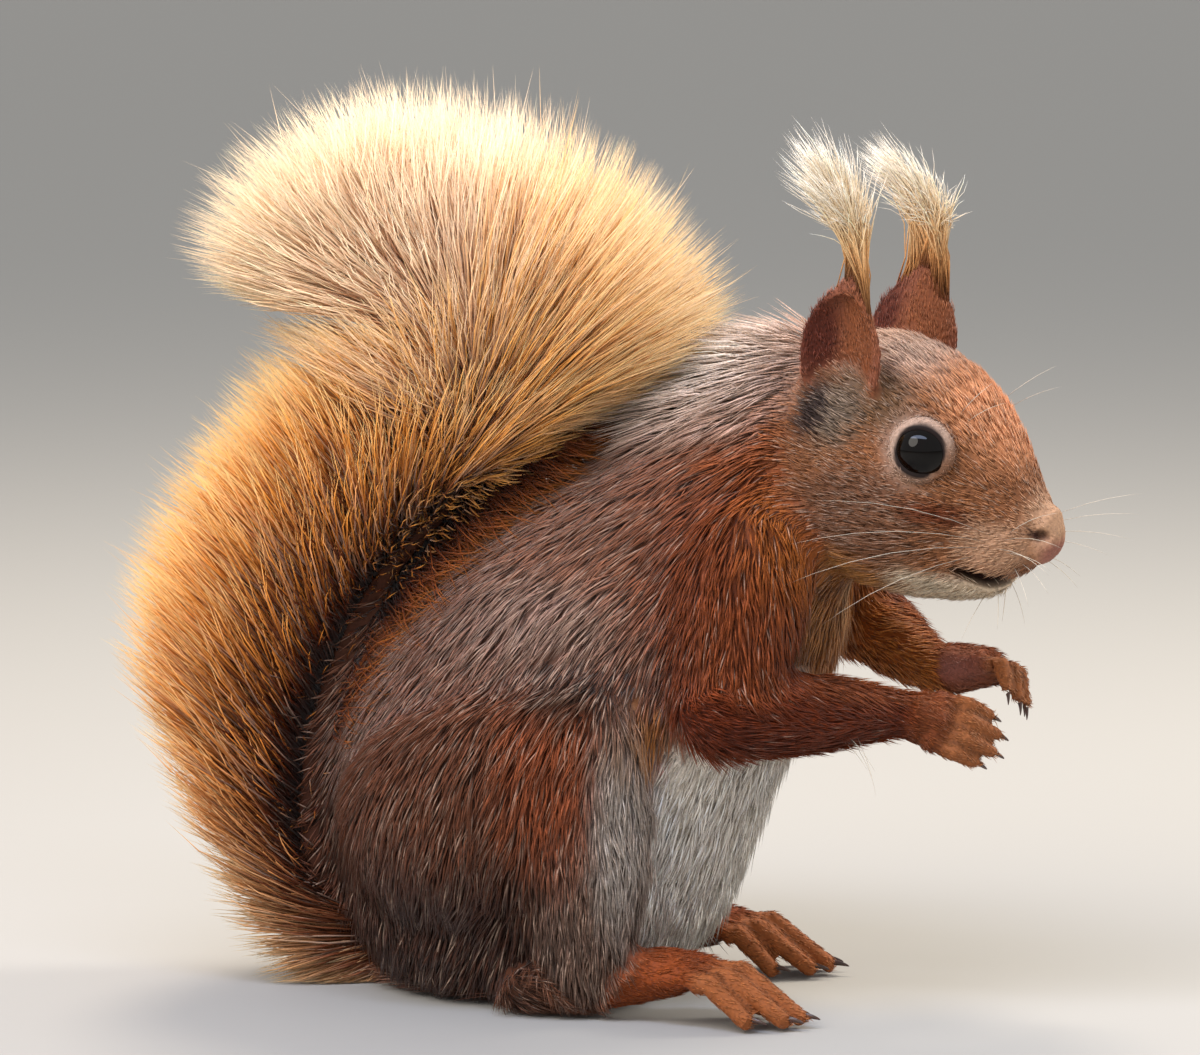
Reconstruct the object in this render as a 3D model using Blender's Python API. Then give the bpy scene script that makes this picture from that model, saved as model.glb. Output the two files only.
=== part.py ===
"""A European red squirrel sitting up on its haunches with its forepaws together, life size.

The body frame: +X is the way the squirrel sits, +Y is its left, +Z is up, and the floor is z = 0.
Sizes below are millimetres out to the tips of the coat. Each part of the body is one solid, and
neighbours keep a thin gap. The head is modelled in a frame of its own, then turned on the neck.
"""

import math

import bmesh
import bpy
import numpy as np
from mathutils import Matrix, Vector

MM = 0.001
GAP = 0.3  # between solids that meet
CREASE = 35.0  # degrees between faces that makes an edge look sharp

# Torso sections, from the seat to the throat: back (x, z), belly (x, z), half width.
TORSO = (
    ((-37, 1), (-4, -5), 17),
    ((-45, 11), (14, -1), 26),
    ((-49, 26), (29, 12), 31),
    ((-50, 44), (37, 27), 32),
    ((-45, 64), (45, 47), 31.5),
    ((-33, 80), (52, 62), 30),
    ((-14, 97), (57, 74), 27.5),
    ((9, 113), (59, 84), 24),
    ((28, 126), (61, 91), 19),
    ((41, 135), (66, 95), 16.5),
    ((51, 136), (72, 104), 13),
)
TORSO_CUTS = (3.1, 5.6, 7.7)  # stations where the torso is parted: rump, belly, chest, neck

# Tail plume sections, from its root on the floor to its tip: side towards the back (x, z),
# outer side (x, z), half width. From the seventh on they fan about the crook of the tail.
TAIL = (
    ((-40, -3), (-57, -6), 9),
    ((-46, 10), (-66, 11), 16),
    ((-50, 25), (-73, 28), 21),
    ((-51, 44), (-86, 48), 26),
    ((-46, 64), (-96, 72), 30),
    ((-33, 81), (-89, 97), 32),
    ((-13, 98), (-75, 117), 34),
    ((9, 115), (-66, 130), 35),
    ((27, 125.5), (-65, 132.5), 35),
    ((34, 139), (-65, 134), 35),
    ((25, 156), (-65.5, 135), 34),
    ((3, 175), (-66.5, 136), 32),
    ((-32, 184), (-69, 137), 28),
    ((-60, 177), (-74, 138.5), 22),
    ((-78, 162), (-80, 142), 13),
)
TAIL_CUTS = (4.2, 7.05, 10.6)  # stations where the tail is parted

# The head's own frame: x forward, y left, z up, turned to the squirrel's right and bowed.
HEAD_CENTRE = (68.5, -6.5, 108.0)
HEAD_YAW, HEAD_PITCH, HEAD_ROLL = -15.0, 18.0, 4.0
# Head sections: x, top, bottom, half width, level of the widest point.
HEAD = (
    (-27, 10, -12, 9, -1),
    (-23, 18, -18, 14.5, -2),
    (-15, 24.5, -22.5, 18, -4),
    (-6, 26.8, -24, 19.3, -6),
    (3, 26.4, -23.6, 19.4, -7),
    (10, 24.6, -22.8, 18.2, -7.5),
    (16, 21.4, -20.8, 15.8, -7.5),
    (21.5, 17.2, -19.2, 12.6, -7.6),
    (26.5, 12.4, -16.5, 10.0, -7.4),
    (30.5, 7.8, -12.0, 7.8, -5.6),
    (33.8, 4.2, -7.8, 5.2, -2.8),
    (36.2, 1.6, -4.4, 2.9, -1.6),
)
NOSE_PLACE, NOSE_TILT = (33.8, -3), 6.0  # (x, z) on the cut behind the nose pad, and its lean
MOUTH_CORNER, MOUTH_LEVEL, MOUTH_OPEN = (20.5, -12.6), -14.2, 4.0
MOUTH_REACH, JAW_BEHIND, HEAD_CLEAR = 26.0, 9.0, 30.0  # wedge ahead of the corner, jaw behind it
EYE_PLACE, EYE_RADIUS = (8.6, 12.3, 9.8), 5.9
EAR_BASE = (-11.5, 12.6, 13)
EAR_TIP = {"right": (-14, 16, 39), "left": (-14, 16, 37)}
EAR_HALF_WIDTH, EAR_CUP, EAR_THICK = 9.2, 5.0, 1.5
EAR_FACES_FORWARD = -5.0  # degrees that the ear's opening turns forward from straight out

# Limbs: centre (x, y of the left side, z) and radius at each station.
SHOULDER, ELBOW, WRIST = "shoulder", "elbow", "wrist"
ARM = {
    "right": {SHOULDER: (41, -20, 90), ELBOW: (37, -29.5, 62), WRIST: (68.5, -9.5, 60.2)},
    "left": {SHOULDER: (42, 20, 91), ELBOW: (50, 29.5, 75.5), WRIST: (70.5, 11.5, 66)},
}
ARM_RADII = {SHOULDER: 15.5, ELBOW: 10.4, WRIST: 5.6}
FOREARM_MIDDLE = {"right": 9.2, "left": 8.2}  # radius
# Where each hand points, where its fingers bend to, and how far they bend from 0 to 1.
HAND = {
    "right": ((0.94, 0.10, -0.20), (0.30, 0.80, -0.50), 0.6),
    "left": ((0.97, -0.15, 0.10), (0.02, -0.40, -0.92), 0.8),
}
PALM, PALM_HALF_WIDTH, PALM_RADIUS = {"right": 7.5, "left": 12.0}, 3.7, 3.1
HIP, KNEE, SHIN, ANKLE = (-18, 21, 39), (9, 29, 56), (11, 29, 33), (9, 27.5, 12)
THIGH_RADII, SHANK_RADII, LEG_FLAT = (26, 15), (14.5, 13, 10.5), 0.78
LEG_BACK = {"right": 0, "left": 7}  # how far each leg is set back
HEEL, INSTEP, TOE_ROOT, FOOT_HALF_WIDTH = (-3, 26, 5), (15, 26.5, 7.8), (32, 26.5, 10.6), 7.2
TOES = ((-6.2, 12.5), (-3.2, 18.5), (0, 20.5), (3.2, 19.5), (6.2, 14))  # sideways place, length
FINGERS = ((-4.2, 10.5), (-1.5, 13.5), (1.4, 13.5), (4.0, 11))
TOE_RADIUS, FINGER_RADIUS, CLAW_RADIUS = 2.3, 1.75, 0.85
TOE_CLAW, FINGER_CLAW = 4.6, 3.3  # lengths

# Ear tufts: offset from the ear's tip and radius.
TUFT = {
    "right": (((0, 0, 2.8), 2.2), ((0, 0, 6.5), 3.4), ((-1.2, 0, 13), 5.4), ((-4.2, 0, 19.5), 7.2),
              ((-8.6, 0, 23.5), 6.0)),
    "left": (((1.4, 0, 2.8), 2.2), ((2.0, 0, 6.5), 3.2), ((-0.2, 0, 12), 4.5), ((-5.5, 0, 18), 4.8),
             ((-11.5, 0, 22), 3.0)),
}

# How finely things are faceted: sections along, sides around.
TORSO_MESH, TAIL_MESH, HEAD_MESH = (22, 20), (27, 18), (19, 20)
TORSO_SQUARENESS, HEAD_SQUARENESS = 1.05, 1.12
EAR_ROWS, EAR_SPANS, CLAW_RINGS, CLAW_SIDES = 7, 6, 3, 5
PAW_VOXEL, PAW_TRIANGLES, FOOT_VOXEL, FOOT_TRIANGLES = 0.62, 330, 0.75, 350

# Linear colour and roughness of each finish.
FINISHES = {
    "coat": ((0.30, 0.12, 0.05), 0.75), "limb_coat": ((0.45, 0.17, 0.04), 0.75),
    "white_coat": ((0.72, 0.64, 0.52), 0.75), "plume": ((0.62, 0.30, 0.10), 0.7),
    "ear": ((0.28, 0.11, 0.06), 0.65), "tuft": ((0.72, 0.48, 0.24), 0.7),
    "nose": ((0.36, 0.17, 0.13), 0.45), "eye": ((0.008, 0.006, 0.006), 0.05),
    "claw": ((0.10, 0.07, 0.05), 0.4),
}


def clear_scene():
    for obj in list(bpy.data.objects):
        bpy.data.objects.remove(obj)


def material(name):
    made = bpy.data.materials.get(name)
    if made is None:
        made = bpy.data.materials.new(name)
        made.use_nodes = True
        shader = made.node_tree.nodes["Principled BSDF"]
        colour, roughness = FINISHES[name]
        shader.inputs["Base Color"].default_value = (*colour, 1.0)
        shader.inputs["Roughness"].default_value = roughness
        shader.inputs["Metallic"].default_value = 0.0
    return made


def add_object(name, bm, slot):
    """Turns bm, in millimetres, into a named object in metres."""
    bmesh.ops.recalc_face_normals(bm, faces=bm.faces)
    bmesh.ops.scale(bm, vec=(MM, MM, MM), verts=bm.verts)
    mesh = bpy.data.meshes.new(name)
    bm.to_mesh(mesh)
    bm.free()
    mesh.shade_smooth()
    mesh.materials.append(material(slot))
    obj = bpy.data.objects.new(name, mesh)
    bpy.context.scene.collection.objects.link(obj)
    return obj


def through(stations, at):
    """Catmull-Rom values at the numbers in at, counted in stations. Each station is a row."""
    rows = np.array(stations, float)
    rows = np.vstack([2 * rows[0] - rows[1], rows, 2 * rows[-1] - rows[-2]])
    at = np.asarray(at, float)
    i = np.clip(at.astype(int), 0, len(rows) - 4)
    t = (at - i)[:, None]
    p0, p1, p2, p3 = rows[i], rows[i + 1], rows[i + 2], rows[i + 3]
    return 0.5 * (2 * p1 + (p2 - p0) * t + (2 * p0 - 5 * p1 + 4 * p2 - p3) * t**2
                  + (3 * p1 - p0 - 3 * p2 + p3) * t**3)


def skin_rings(rings, first_pole, last_pole):
    """One closed mesh from rings of points, with a pole at each end."""
    bm = bmesh.new()
    loops = [[bm.verts.new(p) for p in ring] for ring in rings]
    sides = len(loops[0])
    for one, two in zip(loops, loops[1:]):
        for k in range(sides):
            n = (k + 1) % sides
            bm.faces.new((one[k], one[n], two[n], two[k]))
    for loop, pole in ((loops[0], first_pole), (loops[-1], last_pole)):
        tip = bm.verts.new(pole)
        for k in range(sides):
            bm.faces.new((loop[k], loop[(k + 1) % sides], tip))
    return bm


def oval(sides, squareness=1.0):
    """(across, up) of each corner of a unit oval. A squareness over 1 fills its corners."""
    turns = [2 * math.pi * (k + 0.5) / sides for k in range(sides)]
    return [
        (math.copysign(abs(math.cos(a)) ** (1 / squareness), math.cos(a)),
         math.copysign(abs(math.sin(a)) ** (1 / squareness), math.sin(a)))
        for a in turns
    ]


def plane_loft(stations, mesh_size, end_round, squareness=1.0):
    """A body whose sections all hold the Y direction: each runs from one (x, z) to another (x, z)."""
    steps, sides = mesh_size
    rows = [(*back, *front, width) for back, front, width in stations]
    sampled = through(rows, np.linspace(0, len(rows) - 1, steps))
    rings, centres = [], []
    for bx, bz, fx, fz, width in sampled:
        centre = Vector(((bx + fx) / 2, 0, (bz + fz) / 2))
        up = Vector((bx - fx, 0, bz - fz)) / 2
        rings.append([centre + up * u + Vector((0, width * c, 0)) for c, u in oval(sides, squareness)])
        centres.append(centre)
    first = centres[0] + (centres[0] - centres[1]).normalized() * end_round[0]
    last = centres[-1] + (centres[-1] - centres[-2]).normalized() * end_round[1]
    return skin_rings(rings, first, last)


def station_plane(stations, at):
    """(a point, the normal) of the section at this place along a plane_loft, towards its end."""
    rows = [(*back, *front) for back, front, _ in stations]
    bx, bz, fx, fz = through(rows, [at])[0]
    ahead = through(rows, [at + 0.3])[0] - through(rows, [at - 0.3])[0]
    normal = Vector((bz - fz, 0, fx - bx)).normalized()
    if normal.dot(Vector((ahead[0] + ahead[2], 0, ahead[1] + ahead[3]))) < 0:
        normal.negate()
    return Vector(((bx + fx) / 2, 0, (bz + fz) / 2)), normal


def tube(stations, sides=12, per_span=3, flat=1.0):
    """A limb with round ends through (centre, radius) stations. flat narrows it along Y."""
    rows = [(*centre, radius) for centre, radius in stations]
    sampled = through(rows, np.linspace(0, len(rows) - 1, per_span * (len(rows) - 1) + 1))
    centres, radii = [Vector(r[:3]) for r in sampled], [r[3] for r in sampled]
    ahead = [(centres[min(i + 1, len(centres) - 1)] - centres[max(i - 1, 0)]).normalized()
             for i in range(len(centres))]
    spine = list(zip(centres, radii, ahead))
    for end, sign in ((0, -1), (-1, 1)):
        centre, radius, along = spine[end]
        domed = [(centre + along * sign * radius * math.sin(a), radius * math.cos(a), along)
                 for a in (math.radians(35), math.radians(65))]
        spine = domed[::-1] + spine if end == 0 else spine + domed
    rings = []
    for centre, radius, along in spine:
        side = along.cross(Vector((0, 0, 1)) if abs(along.z) < 0.9 else Vector((1, 0, 0))).normalized()
        if rings and side.dot(last_side) < 0:
            side.negate()
        last_side = side
        up = side.cross(along)
        ring = [centre + (side * c + up * u) * radius for c, u in oval(sides)]
        rings.append([Vector((p.x, centre.y + (p.y - centre.y) * flat, p.z)) for p in ring])
    first = spine[2][0] - spine[2][2] * spine[2][1]
    last = spine[-3][0] + spine[-3][2] * spine[-3][1]
    return skin_rings(rings, first, last)


def apply_modifiers(obj):
    """Replaces the object's mesh with what its modifiers make of it."""
    graph = bpy.context.evaluated_depsgraph_get()
    made = bpy.data.meshes.new_from_object(obj.evaluated_get(graph))
    obj.modifiers.clear()
    obj.data = made
    obj.data.shade_smooth()
    obj.data.set_sharp_from_angle(angle=math.radians(CREASE))


def linked_copy(obj, name):
    copy = bpy.data.objects.new(name, obj.data.copy())
    bpy.context.scene.collection.objects.link(copy)
    return copy


def guide(obj):
    """A cutter the size of the object and the gap around it. It shows as wire and isn't rendered."""
    copy = linked_copy(obj, obj.name + "_guide")
    normals = [v.normal.copy() for v in copy.data.vertices]
    for vertex, normal in zip(copy.data.vertices, normals):
        vertex.co += normal * GAP * MM
    copy.display_type, copy.hide_render = "WIRE", True
    return copy


def islands_of(bm):
    """Lists of vertices that hang together, the smallest first."""
    islands, seen = [], set()
    for start in bm.verts:
        if start in seen:
            continue
        island, front = [], [start]
        seen.add(start)
        while front:
            vert = front.pop()
            island.append(vert)
            near = [edge.other_vert(vert) for edge in vert.link_edges]
            front += [v for v in near if v not in seen]
            seen.update(near)
        islands.append(island)
    return sorted(islands, key=len)


def combine(obj, other, operation):
    """Applies a Boolean, then drops any crumb that it leaves."""
    boolean = obj.modifiers.new(operation.lower(), "BOOLEAN")
    boolean.operation, boolean.solver, boolean.object = operation, "EXACT", other
    apply_modifiers(obj)
    bm = bmesh.new()
    bm.from_mesh(obj.data)
    for crumb in islands_of(bm)[:-1]:
        bmesh.ops.delete(bm, geom=crumb, context="VERTS")
    bm.to_mesh(obj.data)
    bm.free()


def cut_by(obj, *guides):
    for other in guides:
        combine(obj, other, "DIFFERENCE")


def half(obj, point, normal):
    """Keeps what lies on the normal's side of a plane, and closes the cut with one flat face."""
    bm = bmesh.new()
    bm.from_mesh(obj.data)
    cut = bmesh.ops.bisect_plane(
        bm, geom=bm.verts[:] + bm.edges[:] + bm.faces[:], plane_co=Vector(point) * MM,
        plane_no=normal, clear_inner=True)
    edges = [e for e in cut["geom_cut"] if isinstance(e, bmesh.types.BMEdge)]
    bmesh.ops.triangle_fill(bm, use_beauty=True, edges=edges)
    bmesh.ops.recalc_face_normals(bm, faces=bm.faces)
    bm.to_mesh(obj.data)
    bm.free()


def parted(whole, stations, cuts, names):
    """Cuts a plane_loft into named lengths, and removes the whole."""
    pieces = []
    for i, name in enumerate(names):
        piece = linked_copy(whole, name)
        if i > 0:
            point, normal = station_plane(stations, cuts[i - 1])
            half(piece, point + normal * GAP / 2, normal)
        if i < len(cuts):
            point, normal = station_plane(stations, cuts[i])
            half(piece, point - normal * GAP / 2, -normal)
        pieces.append(piece)
    bpy.data.objects.remove(whole)
    return pieces


def fused(name, meshes, slot, voxel, triangles):
    """One body from overlapping shapes: remeshed, smoothed, then thinned to about that many triangles."""
    joined = bmesh.new()
    for bm in meshes:
        bmesh.ops.recalc_face_normals(bm, faces=bm.faces)
        piece = bpy.data.meshes.new("piece")
        bm.to_mesh(piece)
        bm.free()
        joined.from_mesh(piece)
        bpy.data.meshes.remove(piece)
    obj = add_object(name, joined, slot)
    remesh = obj.modifiers.new("remesh", "REMESH")
    remesh.mode, remesh.voxel_size = "VOXEL", voxel * MM
    smooth = obj.modifiers.new("smooth", "SMOOTH")
    smooth.factor, smooth.iterations = 0.5, 3
    apply_modifiers(obj)
    obj.data.calc_loop_triangles()
    thin = obj.modifiers.new("thin", "DECIMATE")
    thin.ratio = min(1.0, triangles / len(obj.data.loop_triangles))
    apply_modifiers(obj)
    return obj


def mirrored(point, side):
    """A point given for the left, on this side."""
    return Vector((point[0], point[1] if side == "left" else -point[1], point[2]))


def head_matrix():
    yaw = Matrix.Rotation(math.radians(HEAD_YAW), 4, "Z")
    pitch = Matrix.Rotation(math.radians(HEAD_PITCH), 4, "Y")
    roll = Matrix.Rotation(math.radians(HEAD_ROLL), 4, "X")
    return Matrix.Translation(Vector(HEAD_CENTRE)) @ yaw @ pitch @ roll


def in_head(bm):
    bmesh.ops.transform(bm, matrix=head_matrix(), verts=bm.verts)
    return bm


def make_head_form():
    steps, sides = HEAD_MESH
    sampled = through(HEAD, np.linspace(0, len(HEAD) - 1, steps))
    rings = []
    for x, top, bottom, width, widest in sampled:
        rings.append([
            Vector((x, width * c, widest + u * (top - widest if u > 0 else widest - bottom)))
            for c, u in oval(sides, HEAD_SQUARENESS)])
    back, front = sampled[0], sampled[-1]
    return in_head(skin_rings(rings, (back[0] - 1.5, 0, back[4]), (front[0] + 1.0, 0, front[4])))


def mouth_wedge():
    """A wedge across the head, as thin as a gap behind the mouth's corner and open at the lips."""
    x, z = MOUTH_CORNER
    front, thin = x + MOUTH_REACH, GAP / 2
    outline = [(x - JAW_BEHIND - 5, z + thin), (x, z + thin), (front, MOUTH_LEVEL + 1),
               (front, MOUTH_LEVEL - MOUTH_OPEN), (x, z - thin), (x - JAW_BEHIND - 5, z - thin)]
    bm = bmesh.new()
    face = bm.faces.new([bm.verts.new((px, -HEAD_CLEAR, pz)) for px, pz in outline])
    side = bmesh.ops.extrude_face_region(bm, geom=[face])
    moved = [v for v in side["geom"] if isinstance(v, bmesh.types.BMVert)]
    bmesh.ops.translate(bm, vec=(0, 2 * HEAD_CLEAR, 0), verts=moved)
    return in_head(bm)


def jaw_box():
    """A box that holds the jaw: all that lies below the mouth's corner and ahead of the hinge."""
    low = (MOUTH_CORNER[0] - JAW_BEHIND, -HEAD_CLEAR, -2 * HEAD_CLEAR)
    high = (MOUTH_CORNER[0] + 2 * HEAD_CLEAR, HEAD_CLEAR, MOUTH_CORNER[1])
    bm = bmesh.new()
    bmesh.ops.create_cube(bm, size=1.0)
    for v in bm.verts:
        v.co = Vector([low[k] if v.co[k] < 0 else high[k] for k in range(3)])
    return in_head(bm)


def make_head():
    """Head, lower jaw, nose pad and eyes. The mouth is a little open."""
    head = add_object("head", make_head_form(), "coat")
    head_guide = guide(head)
    for side in ("left", "right"):
        bm = bmesh.new()
        bmesh.ops.create_icosphere(bm, subdivisions=2, radius=EYE_RADIUS)
        bmesh.ops.translate(bm, vec=mirrored(EYE_PLACE, side), verts=bm.verts)
        eye = add_object("eye_" + side, in_head(bm), "eye")
        cut_by(head, guide(eye))
    matrix, lean = head_matrix(), math.radians(NOSE_TILT)
    forward = matrix.to_3x3() @ Vector((math.cos(lean), 0, math.sin(lean)))
    cut = matrix @ Vector((NOSE_PLACE[0], 0, NOSE_PLACE[1]))
    nose = linked_copy(head, "nose")
    nose.data.materials[0] = material("nose")
    half(nose, cut + forward * GAP / 2, forward)
    half(head, cut - forward * GAP / 2, -forward)
    mouth = add_object("mouth", mouth_wedge(), "nose")
    combine(head, mouth, "DIFFERENCE")
    jaw = linked_copy(head, "jaw")
    below = add_object("below", jaw_box(), "coat")
    combine(jaw, below, "INTERSECT")
    cut_by(head, guide(below))
    bpy.data.objects.remove(mouth)
    bpy.data.objects.remove(below)
    return head_guide


def make_ear(side, head_guide):
    """A cupped pinna, rooted in the head, with a rounded tip."""
    base, tip = Vector(EAR_BASE), Vector(EAR_TIP[side])
    up = (tip - base).normalized()
    turn = math.radians(EAR_FACES_FORWARD)
    opening = Vector((math.sin(turn), math.cos(turn), 0))
    across = opening.cross(up).normalized()
    out = up.cross(across).normalized()
    bm = bmesh.new()
    grid = []
    for i in range(EAR_ROWS + 1):
        s = i / EAR_ROWS
        width = EAR_HALF_WIDTH * (0.80 + 0.9 * s - 1.15 * s * s) * math.sqrt(max(0.0, 1 - s**5)) + 0.5
        row = []
        for k in range(EAR_SPANS + 1):
            t = 2 * k / EAR_SPANS - 1
            cup = EAR_CUP * (1 - 0.55 * s) * (1 - t * t)
            place = base + (tip - base) * (s - 0.16 * t * t * s) + across * width * t - out * (cup - 1.5)
            row.append(bm.verts.new(mirrored(place, side)))
        grid.append(row)
    for low, high in zip(grid, grid[1:]):
        for k in range(EAR_SPANS):
            bm.faces.new((low[k], low[k + 1], high[k + 1], high[k]))
    ear = add_object("ear_" + side, in_head(bm), "ear")
    shell = ear.modifiers.new("shell", "SOLIDIFY")
    shell.thickness, shell.offset = EAR_THICK * MM, 0
    apply_modifiers(ear)
    cut_by(ear, head_guide)


def make_tuft(side):
    """The long hairs above the ear's tip, as one lock."""
    tip = head_matrix() @ mirrored(EAR_TIP[side], side)
    stations = [(tip + Vector(offset), radius) for offset, radius in TUFT[side]]
    add_object("ear_tuft_" + side, tube(stations, sides=8, per_span=2, flat=0.7), "tuft")


def finger(root, ahead, curl, bend, length):
    """A finger that bends once, and the place and direction of its tip."""
    knuckle = root + ahead * length * 0.45
    beyond = ahead.lerp(curl, bend).normalized()
    tip = knuckle + beyond * length * 0.55
    stations = [(root - ahead * FINGER_RADIUS, FINGER_RADIUS * 1.1), (knuckle, FINGER_RADIUS),
                (tip, FINGER_RADIUS * 0.75)]
    return tube(stations, sides=8, per_span=3), tip, beyond


def make_claw(name, tip, ahead, down, length, paw_guide, lift):
    """A claw that curves down from a digit's tip, cut where the digit holds it."""
    rings = []
    side = ahead.cross(down).normalized()
    for i in range(CLAW_RINGS):
        s = i / CLAW_RINGS
        centre = tip + ahead * length * s + down * length * (0.30 * s * s - lift * s)
        radius = CLAW_RADIUS * (1 - 0.72 * s)
        rings.append([centre + (side * c * 0.75 - down * u) * radius for c, u in oval(CLAW_SIDES)])
    last = tip + ahead * length + down * length * (0.30 - lift)
    made = add_object(name, skin_rings(rings, tip - ahead * 0.2, last), "claw")
    cut_by(made, paw_guide)


def make_arm(side, torso_guide, head_guide):
    arm = ARM[side]
    shoulder, elbow, wrist = (Vector(arm[k]) for k in (SHOULDER, ELBOW, WRIST))
    upper = add_object("upper_arm_" + side, tube(
        [(shoulder, ARM_RADII[SHOULDER]), (shoulder.lerp(elbow, 0.5), 13.6), (elbow, ARM_RADII[ELBOW])],
        flat=0.8), "limb_coat")
    forearm = add_object("forearm_" + side, tube(
        [(elbow, ARM_RADII[ELBOW] * 0.99), (elbow.lerp(wrist, 0.5), FOREARM_MIDDLE[side]),
         (wrist, ARM_RADII[WRIST])]), "limb_coat")
    upper_guide, forearm_guide = guide(upper), guide(forearm)
    cut_by(upper, torso_guide, head_guide)
    cut_by(forearm, upper_guide, torso_guide, head_guide)
    return forearm_guide


def make_hand(side, forearm_guide):
    """A forepaw with four curled fingers, its palm turned towards the other one."""
    wrist = Vector(ARM[side][WRIST])
    reach, curl = (Vector(HAND[side][k]).normalized() for k in (0, 1))
    bend = HAND[side][2]
    palm_side = (curl - reach * curl.dot(reach)).normalized()
    across = reach.cross(palm_side)
    if across.z < 0:
        across.negate()
    palm = wrist + reach * PALM[side]
    shapes = [tube([(wrist, ARM_RADII[WRIST] * 0.92), (wrist.lerp(palm, 0.5), 5.2), (palm, 4.2)])]
    row = across * PALM_HALF_WIDTH
    shapes.append(tube([(palm - row, PALM_RADIUS), (palm + row, PALM_RADIUS)], sides=10))
    tips = []
    for place, length in FINGERS:
        ahead = (reach + across * place * 0.03).normalized()
        made, tip, beyond = finger(palm + across * place, ahead, curl, bend, length)
        shapes.append(made)
        tips.append((tip, beyond))
    thumb = palm - reach * 3 + across * 4.4 + palm_side * 1.5
    shapes.append(tube([(thumb - across * 2, 1.8), (thumb + reach * 1.6, 1.5)], sides=8, per_span=1))
    hand = fused("forepaw_" + side, shapes, "limb_coat", PAW_VOXEL, PAW_TRIANGLES)
    hand_guide = guide(hand)
    cut_by(hand, forearm_guide)
    for i, (tip, beyond) in enumerate(tips):
        down = (curl - beyond * curl.dot(beyond) + palm_side * 0.3).normalized()
        name = f"claw_fore_{side}_{i + 1}"
        make_claw(name, tip + beyond * 0.5, beyond, down, FINGER_CLAW, hand_guide, 0.05)


def make_leg(side, torso_guide):
    back = Vector((LEG_BACK[side], 0, 0))
    hip, knee, shin, ankle = (mirrored(p, side) - back for p in (HIP, KNEE, SHIN, ANKLE))
    thigh = add_object("thigh_" + side, tube(
        [(hip, THIGH_RADII[0]), (hip.lerp(knee, 0.55), 22.5), (knee, THIGH_RADII[1])],
        sides=16, flat=LEG_FLAT), "coat")
    shank = add_object("shank_" + side, tube(
        [(knee, SHANK_RADII[0]), (shin, SHANK_RADII[1]), (ankle, SHANK_RADII[2])],
        sides=14, flat=LEG_FLAT), "coat")
    thigh_guide, shank_guide = guide(thigh), guide(shank)
    cut_by(thigh, torso_guide)
    cut_by(shank, thigh_guide, torso_guide)
    return shank_guide, thigh_guide


def make_foot(side, *leg_guides):
    """A hind foot from its heel to five toes that arch down to the floor."""
    back = Vector((LEG_BACK[side], 0, 0))
    heel, instep, root = (mirrored(p, side) - back for p in (HEEL, INSTEP, TOE_ROOT))
    outward = 1 if side == "left" else -1
    shapes = [tube([(heel, 5.4), (instep, 6.2), (root - Vector((4, 0, 1)), 5.0)], sides=12)]
    shapes.append(tube([(root - Vector((2, FOOT_HALF_WIDTH - 3.2, 0.6)), 3.6),
                        (root + Vector((-2, FOOT_HALF_WIDTH - 3.2, -0.6)), 3.6)], sides=10))
    ahead_flat, down = Vector((1, 0.06 * outward, 0)).normalized(), Vector((0, 0, -1))
    tips = []
    for place, length in TOES:
        start = root + Vector((-abs(place) * 0.35, place * outward, -abs(place) * 0.28))
        ahead = (ahead_flat + Vector((0, place * outward * 0.018, 0))).normalized()
        knuckle = start + ahead * length * 0.42 + Vector((0, 0, 0.6))
        tip = Vector(start + ahead * length)
        tip.z = 2.0
        shapes.append(tube([(start - ahead * 3, TOE_RADIUS * 1.1), (knuckle, TOE_RADIUS),
                            (tip, TOE_RADIUS * 0.82)], sides=8, per_span=3))
        tips.append((tip, ahead))
    foot = fused("hind_foot_" + side, shapes, "limb_coat", FOOT_VOXEL, FOOT_TRIANGLES)
    foot_guide = guide(foot)
    cut_by(foot, *leg_guides)
    half(foot, (0, 0, 0), (0, 0, 1))
    for i, (tip, ahead) in enumerate(tips):
        name = f"claw_hind_{side}_{i + 1}"
        make_claw(name, tip + ahead * 0.9 - down * 0.4, ahead, down, TOE_CLAW, foot_guide, 0.10)


def centre_on_floor():
    """Removes the guides, and moves the model so that the middle of its box is over the origin."""
    for obj in [o for o in bpy.data.objects if o.hide_render]:
        bpy.data.objects.remove(obj)
    solids = list(bpy.context.scene.objects)
    places = np.array([v.co for o in solids for v in o.data.vertices])
    middle = (places.min(0) + places.max(0)) / 2
    for obj in solids:
        obj.data.transform(Matrix.Translation((-middle[0], -middle[1], 0)))
    print("middle of the box in the body frame, mm:", [round(float(x) / MM, 3) for x in middle[:2]])


def main():
    clear_scene()
    torso = add_object("torso", plane_loft(TORSO, TORSO_MESH, (2, 2), TORSO_SQUARENESS), "coat")
    torso_guide = guide(torso)
    rump, _, chest, neck = parted(torso, TORSO, TORSO_CUTS, ("rump", "belly", "chest", "neck"))
    chest.data.materials[0] = material("white_coat")
    head_guide = make_head()
    cut_by(chest, head_guide)
    cut_by(neck, head_guide)
    half(rump, (0, 0, 0), (0, 0, 1))
    for side in ("left", "right"):
        make_ear(side, head_guide)
        make_tuft(side)
        make_hand(side, make_arm(side, torso_guide, head_guide))
        make_foot(side, *make_leg(side, torso_guide), torso_guide)
    tail = add_object("tail", plane_loft(TAIL, TAIL_MESH, (1, 5)), "plume")
    for piece in parted(tail, TAIL, TAIL_CUTS, ("tail_root", "tail_lower", "tail_crook", "tail_tip")):
        cut_by(piece, torso_guide)
        if piece.name == "tail_root":
            half(piece, (0, 0, 0), (0, 0, 1))
    centre_on_floor()


main()
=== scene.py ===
import math

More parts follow.
